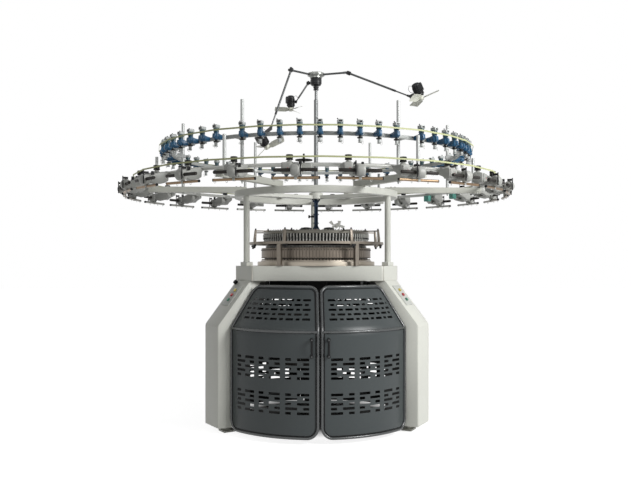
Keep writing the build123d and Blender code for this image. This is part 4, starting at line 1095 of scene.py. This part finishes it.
grey = joined(
    "feeder_caps",
    milled("feeder_cap", (0.041, 0.046, 0.0245), (0, FEEDER_Y, 2.3525), 0.006),
    spun("feeder_store_wheel", STORE_WHEEL, 16, (0, FEEDER_Y - 0.004, 0)),
    milled("feeder_link", (0.01, 0.03, 0.012), (0.014, FEEDER_Y + 0.012, 2.248), 0.002),
)
dressed(around(grey, feeder_azimuths), cap_grey, "unit_grey")
black = joined(
    "feeder_discs",
    spun("feeder_disc", FEEDER_DISC, 20, (0, FEEDER_Y, 0)),
    rod("feeder_lever", 0.0028, (-0.012, FEEDER_Y, 2.358), (-0.019, FEEDER_Y, 2.372), 8),
    rod("feeder_lever_knob", 0.0042, (-0.018, FEEDER_Y, 2.368), (-0.02, FEEDER_Y, 2.3735), 8),
    milled("feeder_window", (0.022, 0.006, 0.01), (0, FEEDER_Y - 0.0225, 2.352), 0.001, 1),
)
dressed(around(black, feeder_azimuths), black_plastic, "black_plastic")
wires = joined(
    "feeder_wires",
    wire_loop(0.011, 0.001, 4, (0.01, FEEDER_Y - 0.02, 2.204), 25),
    wire_loop(0.008, 0.001, 4, (-0.012, FEEDER_Y - 0.02, 2.212), -40),
    rod("feeder_wire", 0.001, (0.018, FEEDER_Y - 0.016, 2.212), (0.016, FEEDER_Y, 2.262), 6),
)
dressed(around(wires, feeder_azimuths), screw_steel, "roller_steel")

# The knitting head: a turned base ring on the bed, cam boxes bolted on it side by side round the
# needle cylinder, and the dial above, which turns under its cap. All of it is bare or plated steel.
CAM_TILES = 108
BASE_RING = [
    (0.441, 1.336), (0.5068, 1.336), (0.5068, 1.366), (0.504, 1.3705), (0.479, 1.3715), (0.477, 1.3808),
    (0.441, 1.3808),
]
CAM_GAP_SHADE = plain_ring(0.44, 0.448, 1.3812, 1.4866)
CAM_STUD = [(0, 0), (0.0048, 0), (0.0044, 0.004), (0, 0.004)]
cam_azimuths = [360 / CAM_TILES * number for number in range(CAM_TILES)]
base_steel = turned_steel("base_steel", tone(160, 152, 140), 0.42)
dressed(eased(spun("base_ring_casting", BASE_RING, 120), 0.0012), base_steel, "ring_steel", "base_ring")
tile = milled("cam_tile", (0.0256, 0.026, 0.086), (0, -0.4592, 1.4425), 0.0018)
foot = milled("cam_foot", (0.018, 0.024, 0.01), (0, -0.459, 1.387), 0.002, 1)
cam_steel = turned_steel("cam_steel", tone(112, 104, 95), 0.4)
dressed(around(joined("cam_boxes", tile, foot), cam_azimuths), cam_steel, "ring_steel", "cam_ring")
dark_steel = turned_steel("dark_steel", tone(46, 43, 40), 0.5, 60.0, 0.6)
# A thin dark ring behind the cam boxes shows only in the gaps between them: painted shade.
dressed(spun("cam_gap_shade", CAM_GAP_SHADE, 108), dark_steel, "ring_steel")
stud = spun("cam_stud", CAM_STUD, 8, (0, -0.4722, 1.469), (pi / 2, 0, 0))
lock = milled("cam_lock", (0.012, 0.004, 0.0035), (0, -0.472, 1.406), 0.001, 1)
dressed(around(joined("cam_studs", stud, lock), cam_azimuths), black_plastic, "black_plastic")

# The needle cylinder is cut with needle tricks, and the needles stand in them. The dial lies above it.
NEEDLES = 216
CYLINDER = plain_ring(0.4018, 0.4315, 1.204, 1.505)
DIAL = [(0, 1.515), (0.42, 1.515), (0.4248, 1.52), (0.4248, 1.5595), (0, 1.5595)]
shell = eased(spun("needle_cylinder_shell", CYLINDER, 120), 0.001)
dressed(shell, dark_steel, "ring_steel", "needle_cylinder", body="cylinder")
dressed(eased(spun("dial_disc", DIAL, 96), 0.001), dark_steel, "ring_steel", "dial", body="dial")
needle = rod("needle_stem", 0.0016, (0, -0.4335, 1.43), (0, -0.4335, 1.5035), 6)
butt = block("needle_butt", (0.0018, 0.006, 0.004), (0, -0.435, 1.496))
needles = around(joined("needle_stems", needle, butt), [360 / NEEDLES * number for number in range(NEEDLES)])
dressed(needles, screw_steel, "roller_steel", body="cylinder")

# The cap is a dished plate with a rolled rim. Small knobs stand all round its rim, and a curtain of
# white ceramic yarn guides in black holders hangs below it. Two black discs lie on its top, and two
# white lint paddles stand beside them.
CAP_TOP_Z = 1.624
CAP = [
    (0, 1.56), (0.4, 1.56), (0.428, 1.572), (0.44, 1.598), (0.4555, 1.603), (0.4555, 1.625),
    (0.448, 1.629), (0.436, 1.6285), (0.428, CAP_TOP_Z), (0, CAP_TOP_Z),
]
GUIDES = 104
CAP_KNOB = [(0, 0), (0.0042, 0), (0.0046, 0.004), (0.003, 0.0085), (0, 0.0092)]
GUIDE_SIDE = [
    (0.457, 1.602), (0.46, 1.595), (0.459, 1.58), (0.454, 1.565), (0.4535, 1.55), (0.458, 1.5385),
    (0.454, 1.5375), (0.448, 1.55), (0.448, 1.567), (0.452, 1.585), (0.451, 1.602),
]
DISCS = ((-0.092, -0.33, 0.05), (0.094, -0.33, 0.043))
PADDLES = ((0.137, -0.3, 12, 74), (0.186, -0.28, -30, 60))
PADDLE_Z = 1.672
PADDLE_ROOT = 0.003
PADDLE_LENGTH = 0.041
PADDLE_WIDTH = 0.03
cap_steel = turned_steel("cap_steel", tone(104, 102, 95), 0.4)
dressed(eased(spun("dial_cap_disc", CAP, 108), 0.001), cap_steel, "ring_steel", "dial_cap")
guide_azimuths = [360 / GUIDES * (number + 0.5) for number in range(GUIDES)]
knob = spun("cap_knob", CAP_KNOB, 8, (0, -0.4475, 1.628))
pin = rod("cap_pin", 0.0026, (0.0135, -0.452, 1.626), (0.0135, -0.452, 1.634), 6)
dressed(around(joined("cap_knobs", knob, pin), guide_azimuths), cap_steel, "ring_steel")
ceramic_white = paint("ceramic_white", tone(198, 198, 192), 0.3, 0.08, 0.02)
blade = eased(shifted(cut_plate("yarn_guides", GUIDE_SIDE, 0.0095), 0.004), 0.001, 1)
dressed(around(blade, guide_azimuths), ceramic_white, "unit_grey")
holder = rod("guide_holder", 0.0048, (-0.0085, -0.449, 1.536), (-0.0085, -0.449, 1.602), 8)
clip = milled("guide_clip", (0.0075, 0.012, 0.012), (-0.008, -0.453, 1.566), 0.002, 1)
dressed(around(joined("guide_holders", holder, clip), guide_azimuths), black_plastic, "black_plastic")
discs = []
for x, y, radius in DISCS:
    dome = [(0, 0), (radius, 0), (radius, 0.016), (radius * 0.86, 0.026)]
    dome += [(radius * 0.3, 0.0305), (0, 0.0305)]
    discs.append(spun("cap_disc", dome, 32, (x, y, CAP_TOP_Z)))
dressed(joined("cap_discs", *discs), black_plastic, "black_plastic")
paddles = []
for x, y, spin_at, lean in PADDLES:
    for third in range(3):
        bpy.ops.mesh.primitive_grid_add(x_subdivisions=6, y_subdivisions=4, size=1)
        paddle = bpy.context.object
        for point in paddle.data.vertices:
            along, across = point.co.x + 0.5, point.co.y
            width = across * PADDLE_WIDTH * (0.5 + 0.5 * along)
            point.co = (PADDLE_ROOT + PADDLE_LENGTH * along, width, 0.004 * across + 0.003 * along * along)
        modified(paddle, "SOLIDIFY", thickness=0.0012, offset=0.0)
        paddle.data.transform(Matrix.Rotation(radians(120 * third + spin_at), 4, "Z"))
        paddle.data.transform(Matrix.Translation((x, y, PADDLE_Z)) @ Matrix.Rotation(radians(lean), 4, "X"))
        paddles.append(settled(paddle, 60))
    paddles.append(rod("paddle_post", 0.003, (x, y, CAP_TOP_Z), (x, y + 0.004, PADDLE_Z), 8))
dressed(joined("lint_paddles", *paddles), ceramic_white, "blade_plastic")

# The guide ring is a flat ring of plate on folded stands. Brackets with black clamp knobs tie it to
# the cap's rim, and a dark screw clamp sits under it beside each bracket.
GUIDE_RING = plain_ring(0.548, 0.5838, 1.514, 1.536)
STAND_AZIMUTHS = (-33, 33, 153, -153)
STAND_HEIGHT = 0.178
STAND_MIDDLE_Z = 1.425
STAND_CHEEK_X = 0.016
BRACKET_AZIMUTHS = (-27.8, 27.8, -64, 64, -110, 110, -150, 150)
BRACKET_SIDE = [(0.586, 1.5), (0.586, 1.56), (0.576, 1.632), (0.564, 1.632), (0.57, 1.5)]
BRACKET_TOP_Z = 1.632
CLAMP_KNOBS_Y = (-0.569, -0.456)
CLAMP_KNOB = [(0, 0), (0.0085, 0), (0.0085, 0.004), (0.006, 0.005), (0.006, 0.014), (0, 0.015)]
CLAMP_SCREW = [(0, -0.016), (0.008, -0.016), (0.009, -0.01), (0.009, 0), (0, 0)]
guide_steel = turned_steel("guide_steel", tone(122, 115, 106), 0.42)
dressed(eased(spun("guide_ring_bars", GUIDE_RING, 120), 0.0015), guide_steel, "ring_steel", "guide_ring")
web = milled("stand_web", (0.036, 0.004, STAND_HEIGHT), (0, -0.58, STAND_MIDDLE_Z), 0.0012)
cheeks = [
    milled("stand_cheek", (0.004, 0.026, STAND_HEIGHT), (x, -0.567, STAND_MIDDLE_Z), 0.0012)
    for x in (-STAND_CHEEK_X, STAND_CHEEK_X)
]
toe = milled("stand_toe", (0.05, 0.024, 0.008), (0.004, -0.576, 1.3415), 0.002)
toe_bolt = bolt_head("toe_bolt", 0.005, 0.004, (0.022, -0.576, 1.3455))
stand = joined("stand_channels", web, *cheeks, toe, toe_bolt)
dressed(around(stand, STAND_AZIMUTHS), guide_steel, "ring_steel")
upright = eased(cut_plate("bracket_upright", BRACKET_SIDE, 0.026), 0.003)
top_arm = milled("bracket_arm", (0.016, 0.14, 0.01), (0, -0.508, 1.627), 0.002)
dressed(around(joined("ring_brackets", upright, top_arm), BRACKET_AZIMUTHS), guide_steel, "ring_steel")
clamp = joined(
    "clamp_knobs", *[spun("clamp_knob", CLAMP_KNOB, 14, (0, y, BRACKET_TOP_Z)) for y in CLAMP_KNOBS_Y],
    milled("under_clamp", (0.04, 0.02, 0.016), (0.012, -0.586, 1.506), 0.003),
    spun("under_clamp_screw", CLAMP_SCREW, 16, (0.014, -0.586, 1.498)),
)
dressed(around(clamp, BRACKET_AZIMUTHS), black_plastic, "black_plastic")

# The centre shaft hangs from the head ring inside a ribbed navy sleeve. Two oil hoses are strapped to
# the sleeve, and a red connector joins it to the cap.
SLEEVE_RIBS = 30
SLEEVE_PITCH = 0.0088
SLEEVE_Z = (1.64, 1.9125)
HOSE_STEPS = 28
HOSE_ASIDE = 0.03
STRAPS_Z = (1.7, 1.776, 1.85)
CONNECTOR = [
    (0, 0), (0.03, 0), (0.03, 0.006), (0.022, 0.008), (0.022, 0.02), (0.026, 0.022), (0.026, 0.026),
    (0, 0.026),
]
hose_blue = paint("hose_blue", tone(28, 50, 74), 0.4, 0.2, 0.05, 0.0, 0.3)
ribs = [(0, SLEEVE_Z[0]), (0.015, SLEEVE_Z[0])]
for number in range(SLEEVE_RIBS):
    z = SLEEVE_Z[0] + 0.004 + number * SLEEVE_PITCH
    ribs += [(0.0145, z), (0.018, z + 0.0022), (0.018, z + 0.0058), (0.0145, z + 0.008)]
ribs += [(0.015, SLEEVE_Z[1]), (0, SLEEVE_Z[1])]
dressed(spun("dial_shaft_sleeve", ribs, 24), hose_blue, "hose_blue", "dial_shaft")
hoses = []
for side in (-1, 1):
    bow = []
    for step in range(HOSE_STEPS + 1):
        share = step / HOSE_STEPS
        drawn = min(1.0, 2.6 * sin(pi * share)) ** 1.5
        aside = side * (HOSE_ASIDE - 0.0195 * drawn)
        bow.append((aside, -0.012 - 0.011 * drawn, SLEEVE_Z[0] + 0.273 * share))
    hoses.append(swept("oil_hose", 0.0062, bow))
hoses += [spun("hose_strap", plain_ring(0.018, 0.0245, 0, 0.008), 24, (0, -0.006, z)) for z in STRAPS_Z]
dressed(joined("oil_hose_tubes", *hoses), hose_blue, "hose_blue", "oil_hoses")
copper_red = turned_steel("copper_red", tone(120, 52, 50), 0.4, 40.0, 0.5)
union = eased(spun("shaft_connector", CONNECTOR, 6, (0, 0, 1.6242)), 0.0015)
dressed(union, copper_red, "button_red")

# The take-down hangs from the cylinder and turns with it: welded side plates on a cross beam, a nip
# of two knurled rollers and the cloth winding roller. The drive motor stands on the rear leg.
ROLLER_HALF = 0.4025
NIP = (0.033, 0.905, 0.0318)
takedown_paint = paint("takedown_paint", tone(62, 64, 64), 0.45, 0.1, 0.05, 0.0, 0.3)
plates = eased(from_node("takedown_frame", "takedown_plates"), 0.003)
dressed(plates, takedown_paint, "plate_metal", "takedown_frame", body="cylinder")
for node, y, z, radius in (
    ("takedown_roller_front", -NIP[0], NIP[1], NIP[2]), ("takedown_roller_back", *NIP),
    ("winding_roller", 0.0, 0.48, 0.0398),
):
    roller = rod(node + "_tube", radius, (-ROLLER_HALF, y, z), (ROLLER_HALF, y, z), 40)
    dressed(roller, dark_steel, "roller_steel", node, body=node)
motor = eased(from_node("drive_motor", "drive_motor_housing"), 0.004)
dressed(motor, takedown_paint, "motor_black", "drive_motor")

# The centre pole is a stepped tube that carries the fan's geared motor. The motor turns a round hub
# of bright plate with three level arms screwed to it.
POLE_Z = (1.967, 2.777)
MAST_TOP_Z = 2.861
FAN_DRIVE = [
    (0, 2.861), (0.0235, 2.861), (0.0235, 2.868), (0.019, 2.87), (0.019, 2.877), (0.024, 2.879),
    (0.024, 2.889), (0.02, 2.891), (0.021, 2.897), (0.038, 2.9), (0.044, 2.906), (0.045, 2.914),
    (0.049, 2.916), (0.0495, 2.95), (0.047, 2.9555), (0.047, 2.9628), (0, 2.9628),
]
HUB_PLATE = [
    (0, 2.9635), (0.052, 2.9635), (0.052, 2.976), (0.06, 2.9775), (0.062, 2.98), (0.062, 2.984),
    (0.0735, 2.985), (0.0745, 2.987), (0.0745, 3.004), (0.0735, 3.006), (0.046, 3.0065), (0.046, 3.011),
    (0.044, 3.0125), (0, 3.0125),
]
HUB_BOLTS_R = 0.06
pole = joined(
    "centre_pole_tubes", rod("pole", 0.0179, (0, 0, POLE_Z[0]), (0, 0, POLE_Z[1]), 28),
    rod("mast", 0.0124, (0, 0, POLE_Z[1]), (0, 0, MAST_TOP_Z), 24),
)
pole_grey = turned_steel("pole_grey", tone(112, 114, 114), 0.34, 3.0, 0.55, 0.02)
dressed(eased(pole, 0.002), pole_grey, "frame_paint", "centre_pole")
motor_black = paint("motor_black", tone(26, 27, 29), 0.36, 0.15, 0.06, 0.0, 0.3)
dressed(eased(spun("fan_drive_motor", FAN_DRIVE, 44), 0.0008, 1), motor_black, "motor_black", "fan_drive")
plate = eased(spun("fan_hub_plate", HUB_PLATE, 56), 0.0008, 1)
nuts = []
for angle in range(0, 360, 40):
    spot = (HUB_BOLTS_R * cos(radians(angle)), HUB_BOLTS_R * sin(radians(angle)), 3.0062)
    nuts.append(bolt_head("hub_bolts", 0.0058, 0.0052, spot))
middle = bolt_head("hub_nut", 0.0095, 0.0045, (0, 0, 3.0125))
hub_steel = turned_steel("hub_steel", tone(140, 142, 138), 0.3, 40.0, 0.9, 0.03)
dressed(joined("fan_hub_plate", plate, *nuts, middle), hub_steel, "plate_metal", "fan_hub", body="fan_hub")

# Each arm is two steel tubes that slide in each other, with a black elbow, a clamp and a bracket that
# holds a fan. Each fan is a ribbed motor with a three bladed moulded propeller.
ELBOW_R = 0.29
ELBOW_Z = 2.9903
EYE_OFFSET = 0.0102
# A row has the arm's side, bearing, drop and length, then its fan's place seen from the arm's tip, the
# fan's tilt and quarter turn, and the angle of the blades.
FANS = (
    ("right", 70.1, 24.0, 0.587, (0.062, 0.0, 0.052), -22.6, 0.0, 8.0),
    ("back", -169.9, 4.0, 0.615, (0.0, 0.052, 0.0), 0.0, 90.0, -4.0),
    ("left", -49.9, 67.0, 0.569, (0.085, 0.0, -0.095), 38.0, 0.0, 12.0),
)
INNER_TUBE_X = (0.066, 0.276)
THICK_SHARE = 0.74
THICK_RADIUS = 0.0088
THIN_RADIUS = 0.006
ARM_COLLAR = [
    (0.005, -0.016), (0.0088, -0.016), (0.009, -0.012), (0.009, 0.012), (0.0088, 0.016), (0.005, 0.016),
]
BRACKET_NEAR = 0.041
BRACKET_FAR = 0.009
MOTOR_FOOT = [(0, -0.0578), (0.03, -0.0578), (0.034, -0.052), (0.034, -0.047)]
MOTOR_HEAD = [(0.036, 0.032), (0.036, 0.044), (0.03, 0.054), (0.022, 0.0575), (0, 0.0578)]
FINS = 8
FINS_Z = (-0.046, 0.03)
FINS_R = (0.0355, 0.0405)
CABLE = [
    (-0.03, 0.0, 0.05), (-0.052, 0.0, 0.062), (-0.07, 0.004, 0.04), (-0.066, 0.006, 0.012),
    (-0.046, 0.004, -0.006),
]
CABLE_RADIUS = 0.0018
PROPELLER_HUB = [
    (0, 0.0), (0.018, 0.0), (0.0225, 0.004), (0.0238, 0.012), (0.0238, 0.03), (0.021, 0.034),
    (0.006, 0.0355), (0, 0.0355),
]
PROPELLER_BELOW = 0.0943
BLADE_ROOT = 0.016
BLADE_TIP = 0.158
BLADE_CHORD = 0.076
BLADE_PITCH = 22
BLADE_RISE = 0.018
arm_steel = turned_steel("arm_steel", tone(78, 80, 80), 0.26, 2.0, 0.85, 0.02)
blade_white = paint("blade_white", tone(214, 215, 202), 0.4, 0.04, 0.02)


def fin_stack():
    """The outline of a row of cooling fins."""
    pitch = (FINS_Z[1] - FINS_Z[0]) / FINS
    outline = []
    for number in range(FINS):
        z = FINS_Z[0] + pitch * number
        outline += [(FINS_R[0], z), (FINS_R[1], z + pitch * 0.25), (FINS_R[1], z + pitch * 0.65)]
        outline.append((FINS_R[0], z + pitch * 0.9))
    return outline


def propeller_blade(name):
    """One moulded blade: narrow at its root, square at its end, cambered and set at the pitch."""
    bpy.ops.mesh.primitive_grid_add(x_subdivisions=14, y_subdivisions=6)
    piece = bpy.context.object
    piece.name = name
    for point in piece.data.vertices:
        along, across = (point.co.x + 1) / 2, point.co.y
        rounded = 0.004 * (along > 0.99) * abs(across) ** 8
        width = BLADE_CHORD * min(1.0, 0.5 + 2.2 * along) * (1 - max(0.0, along - 0.93))
        reach = BLADE_ROOT + (BLADE_TIP - BLADE_ROOT - 0.0005) * along - rounded
        point.co = (reach, across * width / 2, 0.004 * (1 - across * across) - 0.002)
    modified(piece, "SOLIDIFY", thickness=0.0022, offset=0.0)
    piece.data.transform(Matrix.Rotation(radians(BLADE_PITCH), 4, "X"))
    return settled(piece, 60)


inner_pieces = []
for side, bearing, drop, length, offset, tilt, quarter, phase in FANS:
    outward = Matrix.Translation((0, 0, ELBOW_Z)) @ Matrix.Rotation(radians(bearing - 90), 4, "Z")
    elbow = outward @ Matrix.Translation((ELBOW_R, EYE_OFFSET, 0))
    dropped = elbow @ Matrix.Rotation(radians(drop), 4, "Y")
    tip = Vector((length * cos(radians(drop)), 0, -length * sin(radians(drop))))
    fan = elbow @ Matrix.Translation(tip + Vector(offset)) @ Matrix.Rotation(radians(tilt), 4, "Y")
    fan = fan @ Matrix.Rotation(radians(quarter), 4, "Z")
    arm_body = "arm_" + side

    tube = rod("inner_tube", 0.0086, *[(x, -EYE_OFFSET, 0) for x in INNER_TUBE_X], 20)
    cuff = milled("inner_cuff", (0.03, 0.018, 0.018), (0.262, -EYE_OFFSET, 0), 0.002)
    inner_piece = joined("inner_arm_tubes", tube, cuff)
    inner_piece.data.transform(outward)
    inner_pieces.append(inner_piece)

    thick = rod("outer_thick", THICK_RADIUS, (0.01, 0, 0), (length * THICK_SHARE, 0, 0), 20)
    thin = rod("outer_thin", THIN_RADIUS, (length * (THICK_SHARE - 0.02), 0, 0), (length + 0.004, 0, 0), 16)
    outer = joined("outer_arm_tube_" + side, thick, thin)
    outer.data.transform(dropped)
    dressed(outer, arm_steel, "plate_metal", "outer_arm_" + side, body=arm_body)

    collar = spun("arm_collar", ARM_COLLAR, 20, (length * THICK_SHARE, 0, 0), (0, pi / 2, 0))
    eye = milled("arm_eye", (0.04, 0.0195, 0.034), (0.002, 0, 0), 0.008, 3)
    pivot = eased(rod("arm_pivot", 0.0125, (0, -0.03, 0), (0, 0.016, 0), 20), 0.002)
    end = milled("arm_end_clamp", (0.034, 0.0175, 0.0178), (length - 0.012, 0, 0), 0.003)
    clamps = joined("arm_clamps_" + side, collar, eye, pivot, end)
    clamps.data.transform(dropped)
    tip_seen = fan.inverted() @ (elbow @ tip)
    reach = BRACKET_FAR - tip_seen.x - BRACKET_NEAR
    place = (-BRACKET_NEAR - reach / 2, tip_seen.y, tip_seen.z)
    bracket = milled("fan_bracket", (reach, 0.019, 0.029), place, 0.004)
    bracket.data.transform(fan)
    clamps = joined("arm_clamps_" + side, clamps, bracket)
    dressed(clamps, motor_black, "motor_black", body=arm_body)

    motor = spun("fan_motor", MOTOR_FOOT + fin_stack() + MOTOR_HEAD, 32)
    casing = milled("fan_terminal_box", (0.052, 0.05, 0.062), (0.024, 0.0, 0.014), 0.005)
    motor = joined("fan_motor_body_" + side, motor, casing)
    motor.data.transform(fan)
    dressed(motor, motor_black, "motor_black", "fan_motor_" + side, body=arm_body)
    cable = swept("fan_cable_" + side, CABLE_RADIUS, CABLE, False, 1)
    cable.data.transform(fan)
    dressed(cable, motor_black, "motor_black", body=arm_body)

    hub = spun("propeller_hub", PROPELLER_HUB, 32)
    blade = propeller_blade("propeller_blades_" + side)
    blade.data.transform(Matrix.Translation((0, 0, BLADE_RISE)) @ Matrix.Rotation(radians(phase), 4, "Z"))
    propeller = joined("propeller_blades_" + side, around(blade, (0, 120, 240)), hub)
    propeller.data.transform(fan @ Matrix.Translation((0, 0, -PROPELLER_BELOW)))
    settled(propeller, 40)
    dressed(propeller, blade_white, "blade_plastic", "propeller_" + side, body="propeller_" + side)

inner_arms = joined("inner_arm_tubes", *inner_pieces)
dressed(inner_arms, arm_steel, "plate_metal", "inner_arms", body="fan_hub")

low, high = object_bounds()
